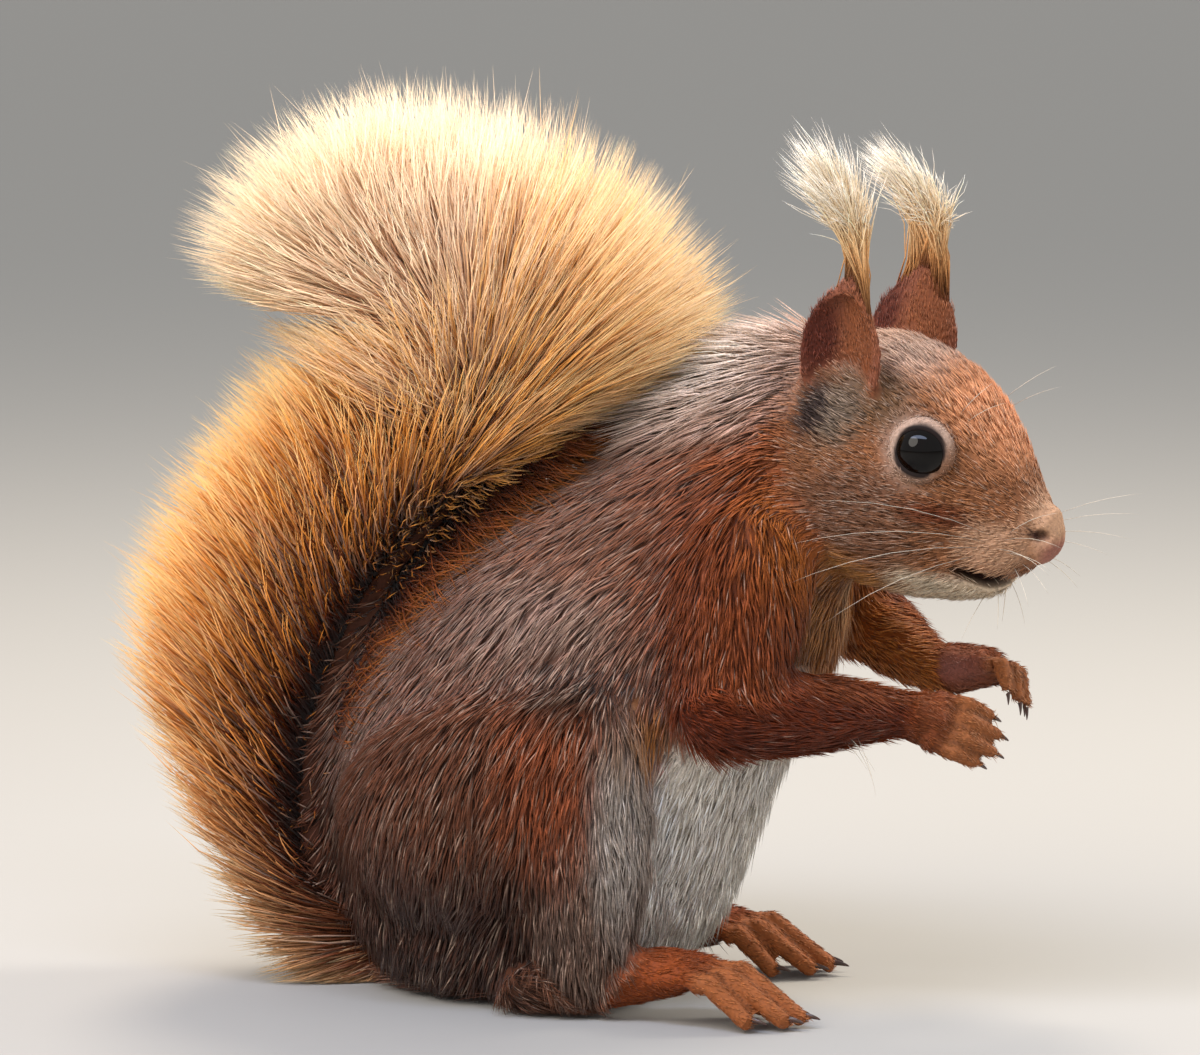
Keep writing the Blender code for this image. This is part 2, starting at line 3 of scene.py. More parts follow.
import bmesh
import bpy
import numpy as np
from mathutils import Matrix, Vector
from mathutils.bvhtree import BVHTree
from mathutils.kdtree import KDTree


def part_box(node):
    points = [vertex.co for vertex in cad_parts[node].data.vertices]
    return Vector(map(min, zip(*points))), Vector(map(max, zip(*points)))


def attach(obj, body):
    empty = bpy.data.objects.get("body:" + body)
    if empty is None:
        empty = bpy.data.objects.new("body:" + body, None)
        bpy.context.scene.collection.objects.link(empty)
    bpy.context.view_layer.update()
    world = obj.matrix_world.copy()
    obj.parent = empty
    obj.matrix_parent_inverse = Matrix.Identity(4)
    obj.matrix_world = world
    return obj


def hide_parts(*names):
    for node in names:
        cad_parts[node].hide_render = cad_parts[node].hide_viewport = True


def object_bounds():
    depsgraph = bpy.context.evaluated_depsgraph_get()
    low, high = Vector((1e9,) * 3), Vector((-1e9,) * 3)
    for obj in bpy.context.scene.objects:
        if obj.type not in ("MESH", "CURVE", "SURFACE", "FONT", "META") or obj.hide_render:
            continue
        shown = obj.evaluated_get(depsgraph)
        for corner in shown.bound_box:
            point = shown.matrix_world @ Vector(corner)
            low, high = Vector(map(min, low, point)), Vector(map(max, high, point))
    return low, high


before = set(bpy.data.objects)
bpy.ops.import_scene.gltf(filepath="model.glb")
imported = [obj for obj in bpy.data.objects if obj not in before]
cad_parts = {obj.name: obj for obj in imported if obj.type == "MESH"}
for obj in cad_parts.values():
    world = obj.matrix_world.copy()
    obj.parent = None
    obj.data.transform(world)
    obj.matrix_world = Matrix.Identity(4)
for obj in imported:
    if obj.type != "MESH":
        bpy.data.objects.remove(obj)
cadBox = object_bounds()
mm = 0.001  # every length below is in millimetres, and turned to metres where a mesh is made
sideSign = {"right": -1, "left": 1}


# Small tools

def linear(hexText):
    srgb = np.array([int(hexText[i:i + 2], 16) for i in (1, 3, 5)]) / 255
    return np.where(srgb <= 0.04045, srgb / 12.92, ((srgb + 0.055) / 1.055) ** 2.4)


def unit(vectors):
    return vectors / np.maximum(np.linalg.norm(vectors, axis=-1, keepdims=True), 1e-9)


def nodeBox(node):
    low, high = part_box(node)
    return np.array(low) / mm, np.array(high) / mm


def inBox(node, across, aside, upward):  # a place given as shares of a node's box along x, y and z
    low, high = nodeBox(node)
    return low + (high - low) * np.array((across, aside, upward))


def addNode(tree, kind, settings=None, inputs=None):
    node = tree.nodes.new(kind)
    for name, value in (settings or {}).items():
        setattr(node, name, value)
    for name, value in (inputs or {}).items():
        if isinstance(value, bpy.types.NodeSocket):
            tree.links.new(value, node.inputs[name])
        else:
            node.inputs[name].default_value = value
    return node


def newMaterial(name):
    material = bpy.data.materials.new(name)
    material.use_nodes = True
    tree = material.node_tree
    tree.nodes.clear()
    return material, tree


def finishMaterial(tree, settings):
    shader = addNode(tree, "ShaderNodeBsdfPrincipled", inputs=settings)
    addNode(tree, "ShaderNodeOutputMaterial", inputs={"Surface": shader.outputs[0]})


def placed(name, data):  # a new object in the scene
    obj = bpy.data.objects.new(name, data)
    bpy.context.scene.collection.objects.link(obj)
    return obj


def aimed(obj, place, way):  # stands an object at a place, with its back to the way given
    obj.location = place
    obj.rotation_mode = "QUATERNION"
    obj.rotation_quaternion = (-way).to_track_quat("-Z", "Y")


def meshOf(name, bm):
    mesh = bpy.data.meshes.new(name)
    bm.to_mesh(mesh)
    bm.free()
    return mesh


def joinRings(bm, rings, turned=False):
    for low, high in zip(rings, rings[1:]):
        for k in range(len(low)):
            face = (low[k], low[k - len(low) + 1], high[k - len(low) + 1], high[k])
            bm.faces.new(face[::-1] if turned else face)


def meshObject(name, points, loopStarts, loopPoints):
    mesh = bpy.data.meshes.new(name)
    mesh.vertices.add(len(points))
    mesh.vertices.foreach_set("co", np.ascontiguousarray(points * mm, dtype=np.float32).ravel())
    mesh.loops.add(len(loopPoints))
    mesh.loops.foreach_set("vertex_index", loopPoints.astype(np.int32))
    mesh.polygons.add(len(loopStarts))
    mesh.polygons.foreach_set("loop_start", loopStarts.astype(np.int32))
    mesh.polygons.foreach_set("use_smooth", np.ones(len(loopStarts), dtype=bool))
    mesh.update(calc_edges=True)
    return placed(name, mesh)


def colourLayer(mesh, name, colours):
    layer = mesh.attributes.new(name, "FLOAT_COLOR", "POINT")
    rgba = np.ones((len(colours), 4), dtype=np.float32)
    rgba[:, :3] = colours
    layer.data.foreach_set("color", rgba.ravel())


def smoothStep(x, low, high):
    t = np.clip((x - low) / (high - low), 0, 1)
    return t * t * (3 - 2 * t)


def mixed(a, b, share):
    return a + (b - a) * np.asarray(share)[..., None]


def ripple(points, size, seed, waves=7):  # smooth noise from about -1 to 1, its features about size across
    own = np.random.default_rng(seed)
    total = np.zeros(len(points))
    for _ in range(waves):
        wave = unit(own.normal(size=3)) * 2 * math.pi / size * own.uniform(0.6, 1.5)
        total += np.sin(points @ wave + own.uniform(0, 2 * math.pi))
    return total / waves * 1.6


def sampled(rows, at, stations=None):  # the rows of a table, at places between them
    known = np.arange(len(rows)) if stations is None else stations
    return np.column_stack([np.interp(at, known, column) for column in np.asarray(rows).T])


def palette(*hexTexts):
    return np.array([linear(text) for text in hexTexts])


def toned(tones, t):  # the colour a share t of the way along a row of them
    return sampled(tones, [t * (len(tones) - 1)])[0]


def within(points, low, high):
    return ((points > low) & (points < high)).all(axis=1)


# Camera, light and floor

stage = {
    "azimuth": 15, "elevation": 7, "lens": 200, "sensor": 36, "distance": 1333,
    "aimAcross": 1.4, "aimUp": 1.9,  # from the middle of the animal's box
    "clip": (0.05, 50), "floor": "#a6a4a0", "floorRadius": 6000, "floorBelow": 0.2,
    "air": "#f4f4f4", "airStrength": 0.75,
}
# Each softbox: turn and height in degrees, then distance, width and height in mm, watts, warmth.
softboxes = {
    "sun": (205, 58, 900, 320, 320, 6.0, "#fff0dc"), "front": (-32, 38, 1000, 700, 700, 7.2, "#fff6ec"),
    "rim": (128, 35, 900, 300, 300, 5.0, "#fff8ec"), "sky": (-6, 60, 700, 800, 150, 3.4, "#cddcff"),
}


def lookFrom(azimuth, elevation):
    a, e = math.radians(azimuth), math.radians(elevation)
    return Vector((math.sin(a) * math.cos(e), -math.cos(a) * math.cos(e), math.sin(e)))


def makeStage():
    scene = bpy.context.scene
    scene.view_settings.view_transform = "Standard"
    middle = (cadBox[0] + cadBox[1]) / 2
    back = lookFrom(stage["azimuth"], stage["elevation"])
    turn = (-back).to_track_quat("-Z", "Y")
    aim = middle + turn @ Vector((stage["aimAcross"], stage["aimUp"], 0)) * mm
    data = bpy.data.cameras.new("camera")
    data.lens, data.sensor_width = stage["lens"], stage["sensor"]
    data.clip_start, data.clip_end = stage["clip"]
    scene.camera = placed("camera", data)
    aimed(scene.camera, aim + back * stage["distance"] * mm, back)
    for name, (azimuth, height, distance, wide, tall, watts, warmth) in softboxes.items():
        lamp = bpy.data.lights.new(name, "AREA")
        lamp.shape, lamp.size, lamp.size_y, lamp.energy = "ELLIPSE", wide * mm, tall * mm, watts
        lamp.color = tuple(linear(warmth))
        way = lookFrom(azimuth, height)
        aimed(placed(name, lamp), middle + way * distance * mm, way)
    world = bpy.data.worlds.new("studio air")
    scene.world = world
    world.use_nodes = True
    world.node_tree.nodes.clear()
    light = addNode(world.node_tree, "ShaderNodeBackground", inputs={
        "Color": (*linear(stage["air"]), 1), "Strength": stage["airStrength"]})
    addNode(world.node_tree, "ShaderNodeOutputWorld", inputs={"Surface": light.outputs[0]})
    bm = bmesh.new()
    bmesh.ops.create_circle(bm, cap_ends=True, segments=64, radius=stage["floorRadius"] * mm)
    floor = placed("floor", meshOf("floor", bm))
    floor.location.z = -stage["floorBelow"] * mm
    material, tree = newMaterial("matt painted floor")  # emulsion paint: even and without shine
    finishMaterial(tree, {"Base Color": (*linear(stage["floor"]), 1), "Roughness": 0.9})
    floor.data.materials.append(material)


makeStage()
print("stage set")


# The skin

skin = {
    "nodes": ["rump", "belly", "chest", "neck", "head", "jaw", "nose"] + [
        part + "_" + side for side in sideSign for part in (
            "ear", "upper_arm", "forearm", "forepaw", "thigh", "shank", "hind_foot")],
    "swell": 0.28,  # how far the solids grow into each other before they become one
    "voxel": 0.95, "near": 4, "tailRings": 60,
    "blendFields": 60, "softenFields": 12, "blendLie": 120, "smooth": 90, "settle": 8,  # rounds of smoothing
}
# The bony tail inside the plume: x and z of its middle, and its radius.
tailCore = [
    (-34, 9, 9), (-47, 11, 8), (-55.5, 22, 7), (-57, 41, 6.2), (-53.5, 59, 5.6), (-44.5, 79.5, 5),
    (-32, 97, 4.4), (-21.5, 110, 4), (-19, 121, 3.6), (-25, 131, 3.2), (-37.5, 138, 2.6), (-53, 144, 1.6),
]

# What the coat does on each kind of node: how far the skin lies inside the outline; a tuft's length, width
# and angle to the skin in degrees; tufts per square mm; how firmly the skin keeps its shape as it is
# smoothed; and which way the hair points, as x, y outwards, z.
skinFields = ("depth", "length", "width", "lift", "thick", "still")
coat = {
    "rump": (3.0, 10.5, 0.36, 14, 1.35, 0.0, (-0.35, 0.1, -0.93)),
    "belly": (3.0, 10.5, 0.35, 14, 1.0, 0.0, (-0.45, 0.1, -0.9)),
    "chest": (3.0, 10.5, 0.36, 15, 1.3, 0.0, (-0.7, 0.1, -0.7)),
    "neck": (3.0, 9, 0.34, 18, 1.7, 0.1, (-0.8, 0.1, -0.55)),
    "head": (1.1, 3.9, 0.2, 14, 2.8, 0.72, (-1, 0, 0)),
    "jaw": (0.6, 3.0, 0.19, 16, 2.8, 0.8, (-1, 0, -0.2)),
    "nose": (0.2, 0.9, 0.13, 12, 1.8, 0.9, (-1, 0, 0.2)),
    "ear": (0.2, 2.0, 0.15, 7, 3.2, 0.93, (-0.1, 0, 1)),
    "upper_arm": (2.4, 8.5, 0.34, 14, 1.5, 0.1, (0.05, 0.1, -1)),
    "forearm": (1.3, 5.5, 0.28, 12, 1.9, 0.4, (0.97, 0, -0.15)),
    "forepaw": (0.25, 2.4, 0.18, 13, 3.1, 0.985, (0.9, 0, -0.4)),
    "thigh": (3.0, 10.5, 0.36, 14, 1.35, 0.0, (-0.2, 0.15, -0.95)),
    "shank": (2.2, 8.5, 0.34, 14, 1.4, 0.15, (0.05, 0.1, -1)),
    "hind_foot": (0.35, 2.7, 0.19, 11, 2.5, 0.975, (1, 0, -0.15)),
    "tail": (0.0, 6, 0.4, 30, 0.0, 0.3, (0, 0, 1)),
}
kinds = list(coat)


def gathered(nodes, swell):  # the CAD solids in one mesh, a little swollen, so that they run into each other
    bm = bmesh.new()
    for name in nodes:
        one = bmesh.new()
        one.from_mesh(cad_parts[name].data)
        one.normal_update()
        for v in one.verts:
            v.co += v.normal * swell * mm
        whole = meshOf("part", one)
        bm.from_mesh(whole)
        bpy.data.meshes.remove(whole)
    return bm


def addTube(bm, points, radii, sides=16):
    rings = []
    for i, (p, r) in enumerate(zip(points, radii)):
        ahead = Vector(unit(points[min(i + 1, len(points) - 1)] - points[max(i - 1, 0)]))
        across = Vector((0, 1, 0))
        up = ahead.cross(across)
        rings.append([bm.verts.new((Vector(p) + (across * math.cos(a) + up * math.sin(a)) * r) * mm)
                      for a in (2 * math.pi * k / sides for k in range(sides))])
    joinRings(bm, rings)
    bm.faces.new(rings[0][::-1])
    bm.faces.new(rings[-1])


def along(stations, count):  # evenly spaced rows on a smooth curve through the stations
    rows = np.array(stations, dtype=float)
    padded = np.vstack((2 * rows[0] - rows[1], rows, 2 * rows[-1] - rows[-2]))
    out = []
    for s in np.linspace(0, len(rows) - 1, count):
        i = min(int(s), len(rows) - 2)
        t = s - i
        a, b, c, d = padded[i:i + 4]
        out.append(0.5 * (2 * b + (c - a) * t + (2 * a - 5 * b + 4 * c - d) * t * t
                          + (3 * b - a - 3 * c + d) * t ** 3))
    return np.array(out)


def neighbourTable(mesh, width=8):
    edges = np.empty(len(mesh.edges) * 2, dtype=np.int64)
    mesh.edges.foreach_get("vertices", edges)
    edges = edges.reshape(-1, 2)
    both = np.vstack((edges, edges[:, ::-1]))
    both = both[np.argsort(both[:, 0], kind="stable")]
    first = np.searchsorted(both[:, 0], np.arange(len(mesh.vertices)))
    rank = np.arange(len(both)) - first[both[:, 0]]
    table = np.repeat(np.arange(len(mesh.vertices))[:, None], width, axis=1)
    kept = rank < width
    table[both[kept, 0], rank[kept]] = both[kept, 1]
    return table


def spreadOut(values, rounds):
    for _ in range(rounds):
        values = (values + values[neighbours].mean(axis=1)) / 2
    return values


def relaxed(points, share, rounds):  # each point moves towards the middle of those beside it
    for _ in range(rounds):
        points = points + (points[neighbours].mean(axis=1) - points) * 0.5 * share
    return points


def pointsOf(mesh, what="co"):
    source = mesh.vertices if what == "co" else mesh.vertex_normals
    out = np.empty(len(mesh.vertices) * 3, dtype=np.float32)
    source.foreach_get("co" if what == "co" else "vector", out)
    return out.reshape(-1, 3).astype(float)


# Degrees from the eyes' level down to the nose, and the place midway between the eyes in the head's frame.
head = {"noseBelowEyes": 26.0, "eyes": (8.6, 0, 9.8)}


def headFrame():  # origin and axes of the head: ahead, to its left, up
    noseBelow = math.radians(head["noseBelowEyes"])
    left, right, nose = (inBox(n, 0.5, 0.5, 0.5) for n in ("eye_left", "eye_right", "nose"))
    across = unit(left - right)
    middle = (left + right) / 2
    ahead = nose - middle
    ahead = unit(ahead - across * (ahead @ across))
    up = np.cross(ahead, across)
    axes = np.array((ahead * math.cos(noseBelow) + up * math.sin(noseBelow), across,
                     up * math.cos(noseBelow) - ahead * math.sin(noseBelow)))
    return middle - np.array(head["eyes"]) @ axes, axes


headOrigin, headAxes = headFrame()


def toHead(points):
    return (points - headOrigin) @ headAxes.T


def fromHead(points):
    return np.asarray(points, dtype=float) @ headAxes + headOrigin


def voxelJoined(bm):
    rough = placed("rough", meshOf("skin", bm))
    remesh = rough.modifiers.new("join", "REMESH")
    remesh.mode = "VOXEL"
    remesh.voxel_size = skin["voxel"] * mm
    joined = bpy.data.meshes.new_from_object(rough.evaluated_get(bpy.context.evaluated_depsgraph_get()))
    bpy.data.objects.remove(rough)
    return joined


def refine(mesh, fine):  # splits the faces whose corners are all fine, as the function of their places says
    bm = bmesh.new()
    bm.from_mesh(mesh)
    near = fine(np.array([v.co[:] for v in bm.verts]) / mm)
    bm.verts.ensure_lookup_table()
    edges = [e for e in bm.edges if near[e.verts[0].index] and near[e.verts[1].index]]
    bmesh.ops.subdivide_edges(bm, edges=edges, cuts=1, use_grid_fill=True)
    bm.to_mesh(mesh)
    bm.free()


# Where the skin is split finer: boxes in the head's frame, and mm round the nodes, the eyes and the digits.
finer = {"face": ((0, -24, -28), (40, 24, 99)), "snout": ((17, -99, -19), (40, 99, 4)),
         "nodes": ("forepaw_", "hind_foot_", "ear_"), "margin": 0.8, "eye": 9, "digit": 2.6}


def onDetail(points):  # the face, the ears, the paws and the feet
    near = within(toHead(points), *finer["face"])
    for side in sideSign:
        for node in finer["nodes"]:
            low, high = nodeBox(node + side)
            near |= within(points, low - finer["margin"], high + finer["margin"])
    return near


def onFinest(points):  # the lips, the nose, round the eyes, and the digits
    near = within(toHead(points), *finer["snout"])
    for side in sideSign:
        near |= np.linalg.norm(points - inBox("eye_" + side, 0.5, 0.5, 0.5), axis=1) < finer["eye"]
        for chain in digitChains(side):
            near |= chainDistance(points, chain)[0] < finer["digit"]
    return near


# Fingers: the way along the palm, the way the tips curl, y outwards, and how far they do. Lengths run from
# the innermost digit, and radii from the root to the tip. Toes: places across the foot, and how high their
# roots lie. near: how far round a digit the skin is drawn to it, by pull at most, from fromRoot on. edge and
# gap: where a digit's colour ends and its groove begins.
digits = {
    "fore": {
        "right": ((0.94, -0.10, -0.20), (0.30, -0.80, -0.50), 0.6),
        "left": ((0.97, -0.15, 0.10), (0.02, -0.40, -0.92), 0.8),
        "lengths": (10.5, 13.5, 13.5, 11), "radii": (1.6, 1.5, 1.2), "intoClaw": 1.98,
    },
    "hind": {
        "lengths": (12.5, 18.5, 20.5, 19.5, 14), "radii": (2.1, 1.85, 1.6),
        "places": (-6.2, -3.2, 0, 3.2, 6.2), "rise": 9.9, "drop": 0.28, "spread": 0.018, "outward": 0.06,
        "tip": (0.6, 1.9), "knuckle": (0.42, 0.7),
    },
    "near": 4.2, "pull": (-1.2, 1.6), "fromRoot": (0.08, 0.45), "joint": 1.06, "draws": 3, "smooth": 4,
    # grooveShade: how far painted shade darkens the groove between two digits
    "edge": (2.6, 3.8), "colourFrom": (0.05, 0.4), "gap": (0.1, 1.1), "grooveShade": 0.6,
    "shorter": 0.35, "thinner": 0.4,
}


def digitChains(side):  # for each digit three points and three radii
    outward = np.array((1, sideSign[side], 1))
    chains = []
    fingers, toes = digits["fore"], digits["hind"]
    reach, curl, bend = fingers[side]
    reach, curl = unit(np.array(reach) * outward), unit(np.array(curl) * outward)
    beyond = unit(reach * (1 - bend) + curl * bend)
    for i, length in enumerate(fingers["lengths"]):
        tip = inBox(f"claw_fore_{side}_{i + 1}", 0.5, 0.5, 0.5) - beyond * fingers["intoClaw"]
        knuckle = tip - beyond * length / 2
        chains.append((np.array((knuckle - reach * length / 2, knuckle, tip)), fingers["radii"]))
    for i, (length, place) in enumerate(zip(toes["lengths"], toes["places"])):
        low, high = nodeBox(f"claw_hind_{side}_{i + 1}")
        tip = np.array((low[0] - toes["tip"][0], (low[1] + high[1]) / 2, toes["tip"][1]))
        way = np.array((1, (toes["outward"] + toes["spread"] * place) * sideSign[side], 0))
        root = tip - way * length
        root[2] = toes["rise"] - abs(place) * toes["drop"]
        knuckle = root + way * length * toes["knuckle"][0] + (0, 0, toes["knuckle"][1])
        chains.append((np.array((root, knuckle, tip)), toes["radii"]))
    return chains


def pawAndFoot(side):
    chains = digitChains(side)
    fingers = len(digits["fore"]["lengths"])
    return chains[:fingers], chains[fingers:]


def chainDistance(points, chain):  # distance to a digit's middle line, the share along it, the nearest point
    (a, b, c), _ = chain
    best = np.full(len(points), 1e9)
    share, nearest = np.zeros(len(points)), np.zeros_like(points)
    for start, end, first in ((a, b, 0.0), (b, c, 0.5)):
        way = end - start
        t = np.clip((points - start) @ way / (way @ way), 0, 1)
        place = start + t[:, None] * way
        gap = np.linalg.norm(points - place, axis=1)
        closer = gap < best
        best[closer], share[closer], nearest[closer] = gap[closer], first + t[closer] / 2, place[closer]
    return best, share, nearest


def shapeDigits(points):  # draws the skin onto rounded digits, with a groove between each two
    for chains in (some for side in sideSign for some in pawAndFoot(side)):
        own = np.flatnonzero(np.min([chainDistance(points, c)[0] for c in chains], axis=0) < digits["near"])
        near = points[own]
        pick = np.arange(len(near))
        for _ in range(digits["draws"]):
            found = [chainDistance(near, c) for c in chains]
            depth = np.array([
                gap - np.interp(share, (0, 0.45, 0.55, 1), (root, middle, middle * digits["joint"], tip))
                for (gap, share, _), (_, (root, middle, tip)) in zip(found, chains)])
            first = depth.argmin(axis=0)
            nearest = np.array([f[2] for f in found])[first, pick]
            share = np.array([f[1] for f in found])[first, pick]
            push = np.clip(depth[first, pick], *digits["pull"]) * smoothStep(share, *digits["fromRoot"])
            near = near - unit(near - nearest) * push[:, None]
        points[own] = near
        for _ in range(digits["smooth"]):
            points[own] += (points[neighbours[own]].mean(axis=1) - points[own]) * 0.5
    return points


def digitLook(places):  # how near each place is to a digit, and to the groove between two
    onDigit, groove = np.zeros(len(places)), np.zeros(len(places))
    for chains in (some for side in sideSign for some in pawAndFoot(side)):
        found = [chainDistance(places, chain)[:2] for chain in chains]
        gaps, shares = np.array(found).transpose(1, 0, 2)
        share = shares[gaps.argmin(axis=0), np.arange(len(places))]
        gaps = np.sort(gaps, axis=0)
        near = (1 - smoothStep(gaps[0], *digits["edge"])) * smoothStep(share, *digits["colourFrom"])
        onDigit = np.maximum(onDigit, near)
        groove = np.maximum(groove, near * (1 - smoothStep(gaps[1] - gaps[0], *digits["gap"])))
    return onDigit, groove


def nearestNodes(points):  # the kind of the node under each place, and which way is outwards there
    best = np.full(len(points), 1e9)
    which = np.full(len(points), kinds.index("tail"))
    mirror = np.ones(len(points))
    for name in skin["nodes"]:
        kind, _, side = name.rpartition("_")
        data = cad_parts[name].data
        tree = BVHTree.FromPolygons([v.co[:] for v in data.vertices], [p.vertices[:] for p in data.polygons])
        low, high = nodeBox(name)
        for i in np.flatnonzero(within(points, low - skin["near"], high + skin["near"])):
            gap = tree.find_nearest(points[i] * mm)[3] / mm
            if gap < best[i]:
                best[i] = gap
                which[i] = kinds.index(kind if side in sideSign else name)
                mirror[i] = sideSign.get(side, 0) or (1 if points[i, 1] > 0 else -1)
    which[best > skin["near"]] = kinds.index("tail")
    return which, mirror


def makeSkin():
    bm = gathered(skin["nodes"], skin["swell"])
    core = along(tailCore, skin["tailRings"])
    addTube(bm, np.column_stack((core[:, 0], np.zeros(len(core)), core[:, 1])), core[:, 2])
    mesh = voxelJoined(bm)
    refine(mesh, onDetail)
    refine(mesh, onFinest)
    return mesh


# Folds and openings of the face, in the head's frame: place, reach, push.
faceForms = {
    "brow": ((10, 14.5, 16.5), (8, 5, 3.5), (0.2, 0.5, 0.6)),
    "eyeFront": ((17.5, 13.5, 8.5), (4, 4, 4), (0, -0.9, 0)),
    "cheek": ((6, 17, -4), (8, 5, 7), (0, 0.6, 0)),
    "whiskerPad": ((27, 8.5, -7.5), (5, 4, 4.5), (0, 0.7, 0)),
    "snoutTop": ((29, 0, 10), (6, 5, 3.5), (0, 0, -0.3)),
    "noseBridge": ((33.8, 0, 3.6), (3.0, 5, 2.6), (0.9, 0, 0.5)),
    "nostril": ((34.0, 4.6, -1.6), (1.5, 1.3, 1.1), (-1.6, -1.8, 0.2)),
    "nostrilWing": ((32.0, 6.2, 0.9), (1.8, 1.6, 1.4), (0.2, 0.7, 0.3)),
    "philtrum": ((37, 0, -6), (2.2, 0.7, 3.4), (-0.7, 0, 0)),
    "nosePadSplit": ((37.5, 0, -2.2), (2.0, 0.6, 2.0), (-0.5, 0, 0)),
}
lids = {
    "opening": 51, "narrowing": 5,  # the eye's half width in degrees, and how much less above and below
    "corners": ((-32, 11, 22), (172, 3, 22)),  # where round the eye it is wider, how much, over how far
    "rings": ((-1.5, 0.03), (0, 0.35), (3, 0.62), (7, 0.82), (13, 0.98), (20, 1.02), (28, 0.95), (36, 0.75)),
    "edge": "#1c100d", "pale": ("#8f7160", "#d8bba6", 0.0), "paleAt": 125, "paleLeast": 0.1,
    "fade": 5, "reach": 12, "bare": (1.4, 6),  # degrees to the full colour; mm from the eye; mm and degrees
    "fields": {"depth": 0, "length": 1.7, "width": 0.16, "lift": 14, "thick": 8.0, "still": 1},
}
eyes = {
    "radius": 5.9, "looks": (0.30, 1.0, 0.16), "corneaRise": 0.35, "corneaWidth": 38,
    "gap": 0.3, "rimGap": 0.6, "rimReach": 1.6, "rimFrom": (-110, -92),  # mm that the skin stands back
}


def eyeFrame(side):  # middle of the eyeball, the way it looks, forward and up across its face
    outward = unit(np.array(eyes["looks"]) * (1, sideSign[side], 1)) @ headAxes
    ahead = unit(headAxes[0] - outward * (headAxes[0] @ outward))
    up = np.cross(ahead, outward) * -sideSign[side]
    return inBox("eye_" + side, 0.5, 0.5, 0.5), outward, ahead, up if up @ headAxes[2] > 0 else -up


def eyePolar(places, side):  # distance from the middle of an eye, and degrees off the way it looks
    middle, outward = eyeFrame(side)[:2]
    off = places - middle
    return np.linalg.norm(off, axis=1), np.degrees(np.arccos(np.clip(unit(off) @ outward, -1, 1)))


def lidOpening(angle):  # half width of the eye's opening in degrees, at an angle round from the front
    half = lids["opening"] - lids["narrowing"] * math.sin(math.radians(angle)) ** 2
    for at, wider, width in lids["corners"]:
        off = (angle - at + 180) % 360 - 180
        half += wider * math.exp(-(off / width) ** 2)
    return half


def addLids(bm, side, sides=72):
    middle, outward, ahead, up = eyeFrame(side)
    rings = []
    for beyond, rise in lids["rings"]:
        ring = []
        for k in range(sides):
            angle = 360 * k / sides
            polar = math.radians(lidOpening(angle) + beyond)
            turn = math.radians(angle)
            aside = ahead * math.cos(turn) + up * math.sin(turn)
            way = outward * math.cos(polar) + aside * math.sin(polar)
            ring.append(bm.verts.new((middle + way * (eyes["radius"] + rise)) * mm))
        rings.append(ring)
    joinRings(bm, rings, sideSign[side] < 0)


def shapeFace(points):
    local = toHead(points)
    for place, reach, push in faceForms.values():
        for side in (-1, 1) if place[1] else (1,):
            flip = np.array((1, side, 1))
            off = (local - np.array(place) * flip) / np.array(reach)
            share = np.exp(-(off ** 2).sum(axis=1))
            local = local + share[:, None] * np.array(push) * flip
    return fromHead(local)


def clearEyes(points):  # the skin stands back from each eyeball, and rises to its lids in front
    for side in sideSign:
        middle = eyeFrame(side)[0]
        reach, polar = eyePolar(points, side)
        rim = smoothStep(-polar, *eyes["rimFrom"])
        least = eyes["radius"] + eyes["gap"] + eyes["rimGap"] * rim
        near = reach < least + eyes["rimReach"] * rim
        eased = least + (reach - least) * smoothStep(reach, least, least + eyes["rimReach"])
        target = np.where(reach < least, least, eased)
        points[near] = middle + unit(points[near] - middle) * target[near, None]
    return points


mouth = {
    "corner": (18.5, -11.2), "front": (33, -13.4), "height": 3.9, "edge": 0.55, "inward": 0.42, "back": 2.6,
    # colours: painted shade, nearly black, for the dark inside of the open mouth
    "rounding": 0.62, "droop": 0.25, "starts": 0.08, "ends": 1.3, "colours": ("#2b100c", "#2b100c", 0.0),
}


def openMouth(points):  # presses the mouth in between the lips: a long lens seen from the side
    local = toHead(points)
    corner, front = np.array(mouth["corner"]), np.array(mouth["front"])
    length = np.linalg.norm(front - corner)
    way = (front - corner) / length
    t = (local[:, (0, 2)] - corner) @ way / length
    off = (local[:, (0, 2)] - corner) @ np.array((-way[1], way[0]))
    bow = np.sin(np.pi * np.clip(t * mouth["rounding"], 0, 1))
    half = mouth["height"] / 2 * np.sqrt(np.clip(bow, 0, 1))
    share = smoothStep(half - np.abs(off + half * mouth["droop"]), -mouth["edge"] / 2, mouth["edge"])
    share *= smoothStep(t, 0, mouth["starts"]) * (t < mouth["ends"])
    local[:, 1] *= 1 - share * mouth["inward"]
    local[:, 0] -= share * mouth["back"]
    return fromHead(local), share


def placeSkin(points):
    skinMesh.vertices.foreach_set("co", (points * mm).astype(np.float32).ravel())
    skinMesh.update()


skinMesh = makeSkin()
neighbours = neighbourTable(skinMesh)
points = pointsOf(skinMesh) / mm
whichNode, mirrorSide = nearestNodes(points)
fields = np.array([coat[kind][:-1] for kind in kinds])[whichNode]
lies = np.array([coat[kind][-1] for kind in kinds])[whichNode]
lies[:, 1] *= mirrorSide
print("skin joined:", len(skinMesh.polygons), "faces")

firm = fields[:, skinFields.index("still")] > 0.95
fields[~firm] = spreadOut(fields, skin["blendFields"])[~firm]
fields = spreadOut(fields, skin["softenFields"])
fieldOf = dict(zip(skinFields, fields.T))
lies = unit(spreadOut(lies, skin["blendLie"]))
loose = (1 - fieldOf["still"])[:, None] ** 2
points = relaxed(points, loose, skin["smooth"])
placeSkin(points)
normals = pointsOf(skinMesh, "normal")
points = shapeDigits(points - normals * (fieldOf["depth"] + skin["swell"])[:, None])
points = relaxed(points, loose, skin["settle"])
points, inMouth = openMouth(shapeFace(points))
points = clearEyes(points)
placeSkin(points)
print("skin shaped")


